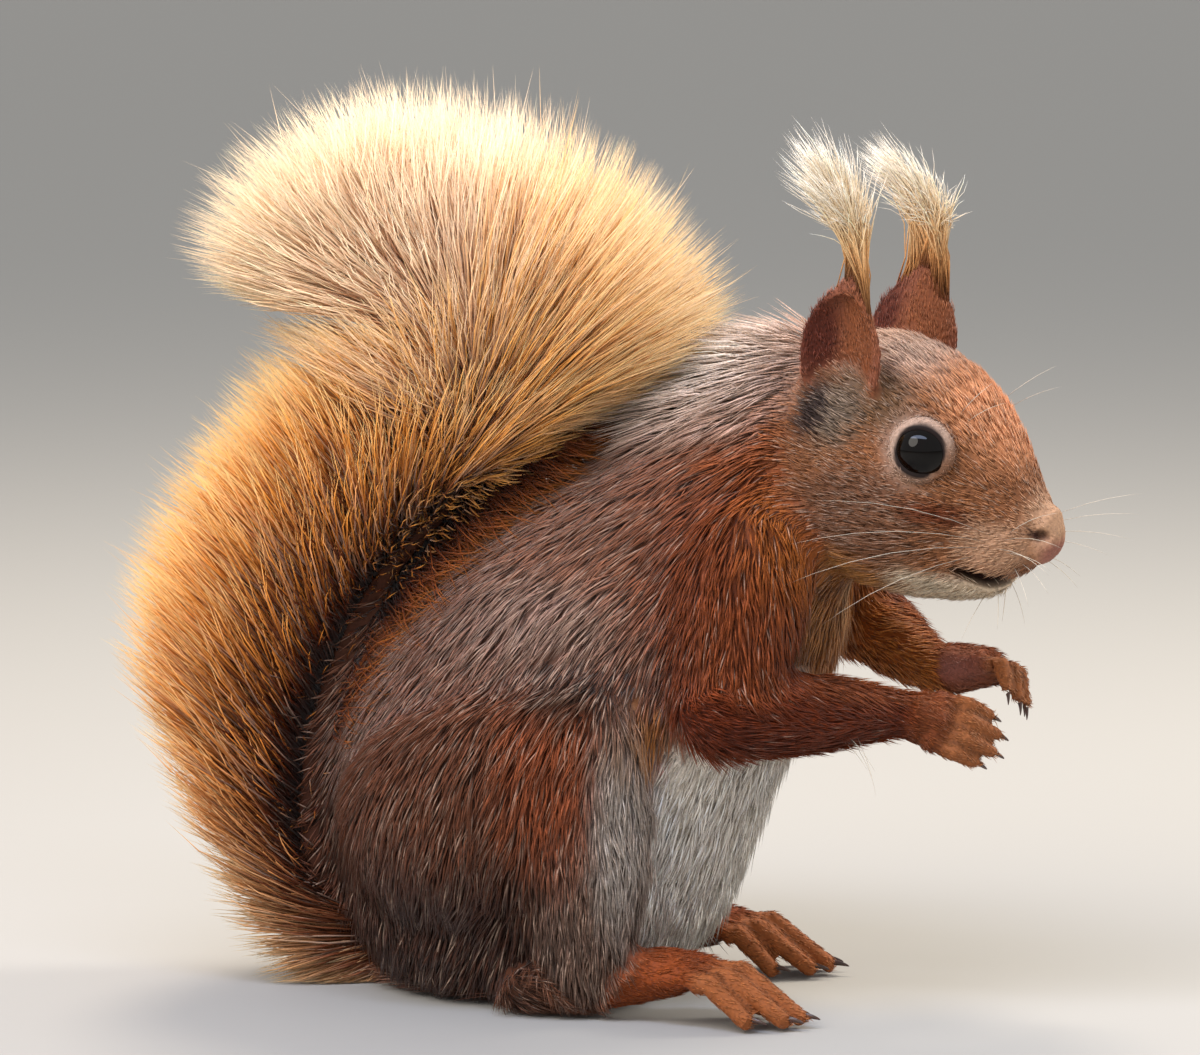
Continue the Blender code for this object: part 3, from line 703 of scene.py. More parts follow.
# Markings: the colour of the coat near the skin and at its tips, and the share of hairs with a pale band

nodeColours = {
    "rump": ("#26150e", "#754834", 0.26), "belly": ("#3a2118", "#9c6850", 0.30),
    "chest": ("#3e2216", "#a46c50", 0.30), "neck": ("#502812", "#b06638", 0.18),
    "head": ("#5a3420", "#ab7045", 0.20), "jaw": ("#b0967c", "#eadabf", 0.0),
    "nose": ("#8f6248", "#c79b78", 0.0), "ear": ("#552818", "#a8674c", 0.0),
    "upper_arm": ("#3f160a", "#903f1c", 0.08), "forearm": ("#380f04", "#7e340f", 0.04),
    "forepaw": ("#54220e", "#955026", 0.0), "thigh": ("#2a160e", "#844e34", 0.26),
    "shank": ("#33221b", "#876857", 0.30), "hind_foot": ("#6a2a0c", "#a85420", 0.0),
    "tail": ("#3a1a10", "#6a3c26", 0.1),
}
# Spots of another colour, in the order they are laid: the nodes they are on, place and reach in mm, y
# outwards on both sides, how gradually a spot ends, and its colours.
onTrunk, onHead, onLeg = ("rump", "belly", "chest", "neck"), ("head", "jaw", "nose"), ("thigh", "shank")
onFlank, onFront = ("thigh", "belly", "rump", "chest"), ("upper_arm", "neck", "chest")
onNape = ("head", "neck", "ear")
bodySpots = {
    "dark haunch": (("rump", "thigh"), (-26, 32, 12), (34, 24, 24), 0.5, ("#1a0e0a", "#553528", 0.2)),
    "shoulder": (onFront, (44, 26, 88), (24, 24, 34), 0.5, ("#471b0a", "#9c4f26", 0.08)),
    "white belly": (onTrunk, (48, 0, 28), (40, 54, 45), 0.10, ("#ddd2c2", "#fffaf2", 0.0)),
    "orange breast": (onTrunk, (60, 0, 78), (22, 24, 27), 0.4, ("#7d4820", "#c88a4c", 0.05)),
    "pale throat": (onTrunk, (66, 0, 84), (13, 8, 20), 0.4, ("#b08c66", "#ecd2a8", 0.0)),
    "groin": (onFlank, (19, 32, 58), (7, 9, 7), 0.5, ("#7a4218", "#c98440", 0.0)),
    "front of the thigh": (onLeg, (2, 38, 54), (9, 14, 20), 0.6, ("#451e0e", "#ad5c36", 0.2)),
    "pale knee": (onLeg, (15, 36, 40), (5, 12, 20), 0.6, ("#7c6e64", "#cfc4ba", 0.4)),
    # painted sheen: a pale band of light along the top of the flank
    "flank": (onFlank[1:], (-4, 28, 81), (18, 12, 9), 0.7, ("#482a20", "#b89382", 0.4)),
    # painted shade: darker in the hollow above the thigh
    "painted shade in the fold of the flank": (onFlank[:3], (5, 34, 68), (12, 9, 5), 0.6, ("#20120c", "#5f4030", 0.3)),
    "leg fold": ((*onFlank[:3], "shank"), (33, 12, 16), (7, 12, 8), 0.5, ("#8a5226", "#d9a05c", 0.0)),
    "ankle": (onTrunk, (36, 25, 11), (17, 8, 10), 0.4, ("#5e3018", "#a8683c", 0.15)),
    "jowl": (onFront, (50, 22, 99), (11, 12, 12), 0.6, ("#6b3010", "#bb6a28", 0.08)),
    "teat": (onTrunk, (20.7, 26.6, 50), (2.0, 4, 2.2), 0.3, ("#b5766c", "#cc958a", 0.0)),
    "dark heel": (("hind_foot",), (-12, 27, 6), (17, 18, 14), 0.3, ("#2a1811", "#704630", 0.2)),
    "palm": (("forepaw",), (72, 5, 68), (6.5, 4, 4), 0.75, ("#7a463c", "#a06c60", 0.0)),
    # painted sunlight: the top of the neck is made nearly white
    "nape": (("neck", "head", "chest"), (28, 0, 127), (20, 13, 14), 0.7, ("#c0a896", "#fff2e4", 0.05)),
}
headSpots = {  # in the head's frame
    # painted sunlight: the top of the head is made pale
    "painted sunlight on the crown": (onHead, (-5, 0, 25), (13, 14, 9), 0.5, ("#8e6e5c", "#e0bea8", 0.3)),
    "forehead": (onHead, (17, 0, 17), (14, 11, 10), 0.4, ("#945a36", "#e4a070", 0.12)),
    "cheek": (("head", "jaw", "neck"), (3, 18, -5), (14, 9, 9), 0.4, ("#462a1c", "#8c5e40", 0.28)),
    "temple": (onHead, (-3, 14, 17), (8, 7, 6), 0.5, ("#47301f", "#85603f", 0.3)),
    "throat side": (("neck", "jaw", "head"), (0, 12, -20), (11, 10, 6), 0.5, ("#7a4a22", "#d09450", 0.0)),
    "under the ear": (onNape[:2], (-9, 16.5, 12), (5.5, 5, 7), 0.5, ("#2e231c", "#8a7560", 0.35)),
    "behind the ear": (onNape, (-14.5, 15.5, 11), (3.6, 5, 7), 0.5, ("#170e0a", "#41302a", 0.15)),
    # painted shade: darker in the hollow of the ear
    "painted shade in the ear hollow": (("ear",), (-17.5, 15, 24.5), (4.6, 7, 8.5), 0.5, ("#35110a", "#70321f", 0.0)),
    "ear front": (("ear",), (-8.5, 14, 26), (5, 7, 15), 0.5, ("#5e2c16", "#a8663e", 0.0)),
    "eye ring": (onHead, (9.4, 18, 11.2), (7.6, 7, 7.2), 0.35, ("#7d6152", "#cdae98", 0.05)),
    "streak": (onHead, (17.5, 14.2, -1.2), (8.5, 4, 2.2), 0.75, ("#3a1608", "#7c3c18", 0.1)),
    "whisker pad": (onHead, (26.5, 8.5, -6), (7, 6, 5.5), 0.4, ("#8f6850", "#d0a582", 0.0)),
    "nose top": (onHead, (35, 0, 1), (7, 7, 6), 0.5, ("#a47a5c", "#cfa684", 0.0)),
    # painted shade: nearly black in the nostril openings
    "nostril": (onHead, (33.4, 5.4, -1.6), (2.3, 3, 1.3), 0.3, ("#2c120d", "#3a1a13", 0.0)),
    "split lip": (onHead, (35.5, 1, -5.5), (3.2, 3.4, 3.4), 0.5, ("#8a5548", "#b07a68", 0.0)),
}
ragged = ((0.07, 4, 3), (0.05, 1.6, 4))  # hairs make a spot's border ragged: share, size in mm and seed
# Lighter hair on the inner side of the arms, partly their own paler colour and partly painted sunlight as it
# falls on the far arm; painted light from above on top of the forearms; and lighter knuckles: how much of
# it, and its colours.
lighter = {
    "inside": (0.8, ("#8a4518", "#d48a42", 0.0)), "above": (0.5, ("#6a2c10", "#b8662e", 0.0)),
    "digits": (0.45, ("#8f4e26", "#cd8f58", 0.0)),
}


def lookOf(under, tip, ticked):  # a row of look
    return np.array([*linear(under), *linear(tip), ticked])


def memberShare(kindNames, rounds=14):  # 1 on these nodes, 0 elsewhere, with a soft border
    own = np.isin(whichNode, [kinds.index(k) for k in kindNames]).astype(float)
    return spreadOut(own, rounds)


def spotShare(inHead, nodes, place, reach, soft):
    base = toHead(points) if inHead else points.copy()
    base[:, 1] = np.abs(base[:, 1])
    far = np.linalg.norm((base - np.array(place)) / np.array(reach), axis=1)
    far *= 1 + sum(share * ripple(points, size, seed) for share, size, seed in ragged)
    return (1 - smoothStep(far, 1 - soft, 1 + soft)) * memberShare(nodes)


look = spreadOut(np.array([lookOf(*nodeColours[kind]) for kind in kinds])[whichNode], skin["blendFields"])
for inHead, spots in enumerate((bodySpots, headSpots)):
    for *where, colours in spots.values():
        look = mixed(look, lookOf(*colours), spotShare(inHead, *where))
# painted shade: the pressed-in mouth is coloured nearly black
look = mixed(look, lookOf(*mouth["colours"]), inMouth)
onDigit, groove = digitLook(points)
shares = {
    # partly the arms' own paler inner side, partly painted sunlight
    "inside": smoothStep(-normals[:, 1] * mirrorSide, 0.1, 0.8) * memberShare(("upper_arm", "forearm")),
    # painted light from above: lighter where the forearms and paws face up
    "above": smoothStep(normals[:, 2], 0.3, 0.9) * memberShare(("forearm", "forepaw")),
    "digits": onDigit,
}
for name, (most, colours) in lighter.items():
    look = mixed(look, lookOf(*colours), shares[name] * most)
# painted shade: the grooves between the digits are darkened
look[:, :6] *= (1 - digits["grooveShade"] * groove)[:, None]

fieldOf["length"] = fieldOf["length"] * (1 - digits["shorter"] * onDigit)
fieldOf["thick"] = fieldOf["thick"] * (1 - digits["thinner"] * onDigit)
# Where the coat is longer or shorter than on the rest of its node, and stands out more or less: whether the
# place is in the head's frame, nodes, place, reach and softness as above, times as long, degrees more.
combed = {
    "nape": (0, ("neck", "head", "chest"), (26, 0, 128), (18, 15, 15), 0.5, 2.2, 30),
    "round the eye": (1, onHead, (8.6, 18, 9.8), (10, 8, 10), 0.3, 0.45, -6),
    "snout": (1, onHead, (30, 0, -2), (12, 14, 14), 0.5, 0.62, -4),
    "heel": (0, ("hind_foot",), (-12, 27, 6), (18, 18, 14), 0.3, 2.8, 8),
    "jowl": (1, onHead, (8, 20, -16), (12, 14, 9), 0.5, 1.4, 5),
    "teat": (0, onTrunk, (20.7, 26.6, 50), (2.6, 4, 2.8), 0.3, 0.25, 0),
    "palm": (0, ("forepaw",), (72, 5, 68), (7, 4, 4.5), 0.4, 0.4, -3),
    "small of the back": (0, ("rump", "belly"), (-34, 0, 86), (22, 20, 20), 0.5, 1.0, -4),
}
for *where, longer, lift in combed.values():
    share = spotShare(*where)
    fieldOf["length"] = fieldOf["length"] * (1 + share * (longer - 1))
    fieldOf["lift"] = fieldOf["lift"] + share * lift

bodyCount = len(points)
bm = bmesh.new()
bm.from_mesh(skinMesh)
for side in sideSign:
    addLids(bm, side)
bm.to_mesh(skinMesh)
bm.free()
allPoints = pointsOf(skinMesh) / mm
lidCount = len(allPoints) - bodyCount


def withLids(values, fill):
    return np.concatenate((values, np.full((lidCount, *values.shape[1:]), fill)))


hideShare = 0.35  # how far the hide's colour is from that of the hair near the skin to that of its tips
lidShare = np.zeros(lidCount)
lidLook = np.zeros((lidCount, look.shape[1]))
for side in sideSign:  # the lids' edge is dark and bare; further out they are pale above and behind the eye
    middle, _, ahead, up = eyeFrame(side)
    reach, polar = eyePolar(allPoints[bodyCount:], side)
    own = np.flatnonzero(reach < lids["reach"])
    lidShare[own] = smoothStep(polar[own], lids["opening"], lids["opening"] + lids["fade"])
    onLid = allPoints[bodyCount + own]
    turn = np.arctan2((onLid - middle) @ up, (onLid - middle) @ ahead) - math.radians(lids["paleAt"])
    pale = lids["paleLeast"] + (1 - lids["paleLeast"]) * smoothStep(np.cos(turn), -0.9, 0.3)
    near = np.flatnonzero(np.linalg.norm(points - middle, axis=1) < lids["reach"])
    beside = np.linalg.norm(onLid[:, None] - points[near], axis=2).argmin(axis=1)
    lidLook[own] = mixed(look[near[beside]], lookOf(*lids["pale"]), pale)
lookAll = np.vstack((look, lidLook))
hideColour = mixed(lookAll[:, :3], lookAll[:, 3:6], hideShare)
beyondEdge = np.concatenate((np.ones(bodyCount), lidShare))
colourLayer(skinMesh, "coatColour", mixed(linear(lids["edge"]), hideColour, beyondEdge))
print("markings laid")


# Materials: hair is keratin, a smooth translucent fibre; combed flat it gives a soft satin sheen

def hairMaterial(name, roughness, sheen, streak=0.25, streakSize=0.5, bump=0.05):
    material, tree = newMaterial(name)
    colour = addNode(tree, "ShaderNodeAttribute", {"attribute_name": "coatColour"})
    place = addNode(tree, "ShaderNodeTexCoord")
    fine = addNode(tree, "ShaderNodeTexNoise", inputs={
        "Vector": place.outputs["Object"], "Scale": 1 / (streakSize * mm), "Detail": 3.0})
    spread = addNode(tree, "ShaderNodeMapRange", inputs={
        "Value": fine.outputs["Fac"], "From Min": 0.3, "From Max": 0.7,
        "To Min": 1 - streak, "To Max": 1 + streak})
    shade = addNode(tree, "ShaderNodeVectorMath", {"operation": "SCALE"}, {
        0: colour.outputs["Color"], "Scale": spread.outputs[0]})
    gloss = addNode(tree, "ShaderNodeMapRange", inputs={
        "Value": fine.outputs["Fac"], "To Min": roughness - 0.1, "To Max": roughness + 0.1})
    relief = addNode(tree, "ShaderNodeBump", inputs={
        "Height": fine.outputs["Fac"], "Strength": bump, "Distance": 0.15 * mm})
    finishMaterial(tree, {"Base Color": shade.outputs[0], "Roughness": gloss.outputs[0], "IOR": 1.55,
                          "Specular IOR Level": 0.22, "Sheen Weight": sheen, "Sheen Roughness": 0.35,
                          "Normal": relief.outputs[0]})
    return material


materials = {
    "guard": hairMaterial("guard hair, combed flat", 0.50, 0.05),  # a satin light runs over the flank
    "belly": hairMaterial("belly down, fine and matt", 0.62, 0.2, 0.1),  # soft, pale towards its edge
    "plume": hairMaterial("long tail hair, thin and glossy", 0.45, 0.1, 0.15),  # each hair has its light
    "hide": hairMaterial("hide under short hair, matt and finely pitted", 0.72, 0.0, 0.25, 0.6, 0.5),
}
skinObject = placed("skin", skinMesh)
skinMesh.polygons.foreach_set("use_smooth", np.ones(len(skinMesh.polygons), dtype=bool))
skinMesh.materials.append(materials["hide"])


def unwrap(obj):
    obj.data.uv_layers.new(name="OFBake")
    bpy.context.view_layer.objects.active = obj
    obj.select_set(True)
    bpy.ops.object.mode_set(mode="EDIT")
    bpy.ops.mesh.select_all(action="SELECT")
    bpy.ops.uv.smart_project(angle_limit=math.radians(66), island_margin=0.004, scale_to_bounds=True)
    bpy.ops.object.mode_set(mode="OBJECT")
    obj.select_set(False)


unwrap(skinObject)
print("skin unwrapped")
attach(skinObject, "root")
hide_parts(*skin["nodes"])


# The coat: each tuft is a closed spike of three sides that bends over and thins out to its tip

# A tuft's three corners, how flat it is, how it waves, the size of its patch on the unwrap, and the height
# in mm at which hair begins to bend along the floor. profiles: share along and thickness of each ring.
spike = {"corners": (0.5, 2.6, 4.7), "flat": 0.7, "wave": 5.5, "patch": 0.003, "lieDown": 1.5}
profiles = {2: ((0, 0.8), (0.5, 1.0)), 3: ((0, 0.8), (0.35, 1.0), (0.7, 0.75)),
            5: ((0, 0.8), (0.22, 1.0), (0.45, 0.95), (0.66, 0.8), (0.85, 0.5))}


def growSpikes(name, slot, material, start, bend, end, width, outward, colours, uv, rings=2, wave=None):
    count, each = len(start), rings * 3 + 1
    points, shades, patch = (np.empty((count, each, axes)) for axes in (3, 3, 2))
    sideways = unit(np.cross(end - start, outward))
    for k, (t, thick) in enumerate((*profiles[rings], (1.0, 0.0))):
        middle = (1 - t) ** 2 * start + 2 * t * (1 - t) * bend + t * t * end
        if wave is not None:
            middle = middle + sideways * (wave * t * np.sin(t * spike["wave"]))[:, None]
        ahead = unit((1 - t) * (bend - start) + t * (end - bend))
        across = unit(np.cross(ahead, outward))
        up = np.cross(across, ahead) * spike["flat"]
        for j, turn in enumerate(spike["corners"] if thick else spike["corners"][:1]):
            reach = (across * math.cos(turn) + up * math.sin(turn)) * (width / 2 * thick)[:, None]
            points[:, k * 3 + j] = middle + reach
            shades[:, k * 3 + j] = colours(t)
            patch[:, k * 3 + j] = uv + (np.array((j / 2, t)) - 0.5) * spike["patch"]
    faces = [(0, 1, 2)]
    for k in range(rings - 1):
        faces += [(k * 3 + j, k * 3 + 3 + j, k * 3 + 3 + (j + 1) % 3, k * 3 + (j + 1) % 3) for j in range(3)]
    top = rings * 3 - 3
    faces += [(top + j, rings * 3, top + (j + 1) % 3) for j in range(3)]
    heights = points[..., 2]
    low = heights < spike["lieDown"]
    heights[low] = spike["lieDown"] * np.exp(heights[low] / spike["lieDown"] - 1)
    order = np.concatenate([np.array(f) for f in faces])
    starts = np.cumsum([0] + [len(f) for f in faces])[:-1]
    nth = np.arange(count)[:, None]
    loopPoints = (order + nth * each).ravel()
    spikes = meshObject(name, points.reshape(-1, 3), (starts + nth * len(order)).ravel(), loopPoints)
    colourLayer(spikes.data, "coatColour", np.clip(shades, 0, 1).reshape(-1, 3))
    layer = spikes.data.uv_layers.new(name="OFBake", do_init=False)
    layer.uv.foreach_set("vector", patch.reshape(-1, 2)[loopPoints].astype(np.float32).ravel())
    spikes.data.materials.append(materials[material])
    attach(spikes, "root")
    print(name, count, "tufts,", count * (6 * rings - 2), "triangles")
    return spikes


def skinCorners(mesh):  # the skin as triangles, with the place of each on the unwrap
    mesh.calc_loop_triangles()
    corners = np.empty(len(mesh.loop_triangles) * 3, dtype=np.int64)
    loops = np.empty(len(mesh.loop_triangles) * 3, dtype=np.int64)
    mesh.loop_triangles.foreach_get("vertices", corners)
    mesh.loop_triangles.foreach_get("loops", loops)
    flat = np.empty(len(mesh.loops) * 2, dtype=np.float32)
    mesh.uv_layers["OFBake"].uv.foreach_get("vector", flat)
    return corners.reshape(-1, 3), flat.reshape(-1, 2)[loops].reshape(-1, 3, 2)


def areaOf(corners):  # of triangles, given as rows of three places
    return np.linalg.norm(np.cross(corners[:, 1] - corners[:, 0], corners[:, 2] - corners[:, 0]), axis=1) / 2


def scatter(weights, count, rng):  # random places on triangles: which one, and the share of each corner
    chosen = rng.choice(len(weights), count, p=weights / weights.sum())
    u, v = rng.random((2, count))
    over = u + v > 1
    u[over], v[over] = 1 - u[over], 1 - v[over]
    return chosen, np.column_stack((1 - u - v, u, v))[:, :, None]


def clumped(ends, share, size, rng):  # tips lean towards their lock's own tip
    leaders = ends[rng.choice(len(ends), max(1, len(ends) // size), replace=False)]
    tree = KDTree(len(leaders))
    for i, leader in enumerate(leaders):
        tree.insert(leader, i)
    tree.balance()
    near = leaders[[tree.find(end)[1] for end in ends]]
    return ends + (near - ends) * share[:, None]


corners, cornerUv = skinCorners(skinMesh)
skinNormals = pointsOf(skinMesh, "normal")
skinTree = BVHTree.FromPolygons(allPoints.tolist(), corners.tolist())


def patchAt(roots):  # where the skin nearest each root lies on the unwrap
    return np.array([cornerUv[skinTree.find_nearest(root)[2]].mean(axis=0) for root in roots.tolist()])


density = withLids(fieldOf["thick"] * (1 - smoothStep(inMouth, 0.05, 0.3)), lids["fields"]["thick"])
density[bodyCount:] *= lidShare > 0.9
for side in sideSign:  # none on the bare edge of the lids, nor on the eye
    reach, polar = eyePolar(allPoints, side)
    density *= 1 - (reach < eyes["radius"] + lids["bare"][0]) * (polar < lids["opening"] + lids["bare"][1])
fieldAll = {name: withLids(fieldOf[name], lids["fields"][name]) for name in skinFields}
fromNose = unit(allPoints - fromHead((37, 0, -2)))
liesAll = unit(mixed(withLids(lies, 0.0), fromNose, withLids(memberShare(onHead, 50), 0.0)))
nodeAll = withLids(whichNode, kinds.index("head"))

coatPieces = {
    "coat_head": (("head", "jaw", "nose"), "coat", "guard"), "coat_ears": (("ear",), "ear", "guard"),
    "coat_neck": (("neck",), "coat", "guard"), "coat_belly": (("belly", "chest"), "white_coat", "belly"),
    "coat_rump": (("rump",), "coat", "guard"), "coat_legs": (("thigh", "shank"), "coat", "guard"),
    "coat_arms": (("upper_arm", "forearm"), "limb_coat", "guard"),
    "coat_paws": (("forepaw", "hind_foot"), "limb_coat", "guard"),
}
# How tufts differ from what the tables give for their place. Waves: strength, size in mm and seed.
tuft = {
    "lengths": (0.7, 1.2), "widths": (0.75, 1.25), "sunk": (0.05, 0.25),
    "strayWaves": (0.20, 7, 5), "stray": 0.12, "liftWaves": (0.35, 9, 6), "lift": 4,
    "rise": (1, 8), "fall": (0.45, -2),  # angle of the lower and the upper half, times the lift, and more
    "lock": (0.35, 14),  # how far a tip leans to its lock's, and tufts to a lock
    "shadeWaves": (0.14, 6, 8), "shade": 0.14, "tipFrom": (0.05, 0.7),
    "band": ("#b89f8c", 0.62, 0.22, 0.7),  # colour, middle, width and strength
}


def waved(points, waves):
    strength, size, seed = waves
    return strength * ripple(points, size, seed)


def banded(colour, t, band, share):  # with a pale band across the hairs that share picks
    tone, middle, width, strength = band
    return colour + (linear(tone) - colour) * math.exp(-((t - middle) / width) ** 2) * strength * share


def growCoat(name, nodes, slot, material, seed):
    rng = np.random.default_rng(seed)
    faces = np.flatnonzero(np.isin(nodeAll[corners[:, 0]], [kinds.index(k) for k in nodes]))
    share = areaOf(allPoints[corners[faces]]) * density[corners[faces]].mean(axis=1)
    chosen, weight = scatter(share, int(share.sum()), rng)
    chosen = faces[chosen]

    def pick(values):
        rows = values[corners[chosen]]
        return (rows * (weight if rows.ndim > 2 else weight[:, :, 0])).sum(axis=1)

    roots, outward, lie = pick(allPoints), unit(pick(skinNormals)), pick(liesAll)
    count = len(roots)
    length = pick(fieldAll["length"]) * rng.uniform(*tuft["lengths"], count)
    stray = waved(roots, tuft["strayWaves"]) + tuft["stray"] * rng.normal(size=count)
    lie = lie + np.cross(outward, lie) * stray[:, None]
    lie = unit(lie - outward * (lie * outward).sum(axis=1)[:, None])
    lift = pick(fieldAll["lift"]) * (1 + waved(roots, tuft["liftWaves"]))
    lift += rng.normal(size=count) * tuft["lift"]
    rise, fall = (np.radians(lift * times + more)[:, None] for times, more in (tuft["rise"], tuft["fall"]))
    half = (length * 0.5)[:, None]
    start = roots - outward * np.minimum(length * tuft["sunk"][0], tuft["sunk"][1])[:, None]
    bend = start + (lie * np.cos(rise) + outward * np.sin(rise)) * half
    end = bend + (lie * np.cos(fall) + outward * np.sin(fall)) * half
    ends = clumped(end, tuft["lock"][0] * rng.random(count), tuft["lock"][1], rng)
    width = pick(fieldAll["width"]) * rng.uniform(*tuft["widths"], count)
    shade = (1 + waved(roots, tuft["shadeWaves"]) + rng.normal(size=count) * tuft["shade"])[:, None]
    own = pick(lookAll)
    ticked = (rng.random(count) < own[:, 6])[:, None]

    def colours(t):
        tip = np.full(count, smoothStep(np.array(t), *tuft["tipFrom"]))
        return banded(mixed(own[:, :3], own[:, 3:6], tip), t, tuft["band"], ticked) * shade

    uv = (cornerUv[chosen] * weight).sum(axis=1)
    growSpikes(name, slot, material, start, bend, ends, width, outward, colours, uv)


for seed, (name, how) in enumerate(coatPieces.items()):
    growCoat(name, *how, 100 + seed)


# The plume: long hairs that leave the bony tail leaning towards its tip and spread out to the outline

plume = {
    "nodes": {  # stations of the bony tail that each part's hairs grow from, and how many they are
        "tail_root": (0, 4.2, 7600), "tail_lower": (2.2, 6.7, 10800), "tail_crook": (5.2, 9.2, 10800),
        "tail_tip": (7.8, 11, 9500),
    },
    "core": 160, "apart": 0.6, "onEdge": (0.55, 1.6),  # more of them at the outline's edge than beside it
    "lean": ((0, 0.7), (3, 0.5), (5, 0.12), (6.5, 0.0), (7.5, 0.1), (9, 0.5), (11, 0.9)),  # by station
    "leanMost": 27, "leans": (0.75, 1.25), "besideLean": 0.9, "sweep": 15, "sweepEnds": (6.3, 7.8),
    "drawnIn": 0.2, "toBack": 0.3, "onBack": ((0.1, 0.6), (5, 6.2), (1.5, 3)),
    "rooted": 0.8, "shortShare": 0.25, "short": (0.45, 0.85), "long": (0.86, 1.04), "stray": (0.04, 1.08),
    "bulge": (-0.5, 1.0, 1.25), "arch": 0.10, "bent": 1.2, "lock": (0.55, 16),
    "width": 0.36, "widths": (0.7, 1.2), "wave": 0.9, "shadeWaves": (0.13, 9, 8), "shade": 0.12,
    "band": ("#d6c6b4", 0.5, 0.16, 0.65),
    "shaded": "#b5652a", "shadedShare": 0.7, "inShade": ((0.1, 0.8), (6.8, 8)),  # the under side of the lobe
}
# Colours along a hair: at its root, where it leaves the dark, at mid-length, near its end and at its tip,
# for hairs that grow at these stations along the bony tail; last the share with a pale band. The nearly
# black roots are partly the hairs' own dark bases and partly painted shade deep in the plume; the cream of
# the crook and the tip is partly the hairs' own pale colour and partly painted backlight shining through the
# fan.
plumeColours = [
    (0, "#2e0e07", "#5a2410", "#945a34", "#c89a6c", "#e2caa0", 0.22),
    (2.5, "#120402", "#3c1005", "#85390f", "#ea923c", "#ffd08a", 0.24),
    (5, "#160502", "#481606", "#9a4814", "#ee983a", "#ffd084", 0.30),
    (6.6, "#2c130b", "#6a3c2a", "#bc7c44", "#eaa652", "#fad294", 0.36),
    (7.6, "#4e2e23", "#946a56", "#dcaa88", "#f6cea2", "#fde2be", 0.26),
    (9, "#64402a", "#b07e60", "#f4c49c", "#fbd8ae", "#fce0b8", 0.10),
    (11, "#744428", "#c98450", "#f4c898", "#fad8ac", "#fce0b6", 0.04),
]


def tailSurface(name):  # the triangles of a part of the tail's outline, each as three places
    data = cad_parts[name].data
    data.calc_loop_triangles()
    return (pointsOf(data) / mm)[np.array([t.vertices[:] for t in data.loop_triangles])]


coreRows = along(tailCore, plume["core"])
core = np.column_stack((coreRows[:, 0], np.zeros(len(coreRows)), coreRows[:, 1]))
coreStation = np.linspace(0, len(tailCore) - 1, len(core))
coreLength = np.concatenate(([0], np.cumsum(np.linalg.norm(np.diff(core, axis=0), axis=1))))
coreAhead = unit(np.gradient(core, axis=0))
coreTable = np.column_stack((core, coreAhead, coreRows[:, 2], coreStation))
tailTrees = {}
for name in plume["nodes"]:
    places = tailSurface(name)
    flat = np.arange(len(places) * 3).reshape(-1, 3)
    tailTrees[name] = BVHTree.FromPolygons(places.reshape(-1, 3).tolist(), flat.tolist())


def halfThickness(place):  # of the tail's outline beside a place
    for tree in tailTrees.values():
        hit = tree.ray_cast(Vector((place[0], -80, place[2])), Vector((0, 1, 0)))
        if hit[0] is not None:
            return abs(hit[0].y)
    return 2.0


def plumeEnds(name, count, rng):  # places on the outline, away from its neighbours, most at its edge
    places = tailSurface(name)
    others = [tailTrees[other] for other in plume["nodes"] if other != name]
    apart = [all(tree.find_nearest(centre)[3] > plume["apart"] for tree in others)
             for centre in places.mean(axis=1).tolist()]
    halfWidth = max(np.abs(places[..., 1]).max(), 1)
    places = places[np.array(apart)]
    edge = 1 - np.abs(places.mean(axis=1)[:, 1]) / halfWidth
    weights = areaOf(places) * (plume["onEdge"][0] + plume["onEdge"][1] * edge)
    chosen, share = scatter(weights, count, rng)
    return (places[chosen] * share).sum(axis=1)


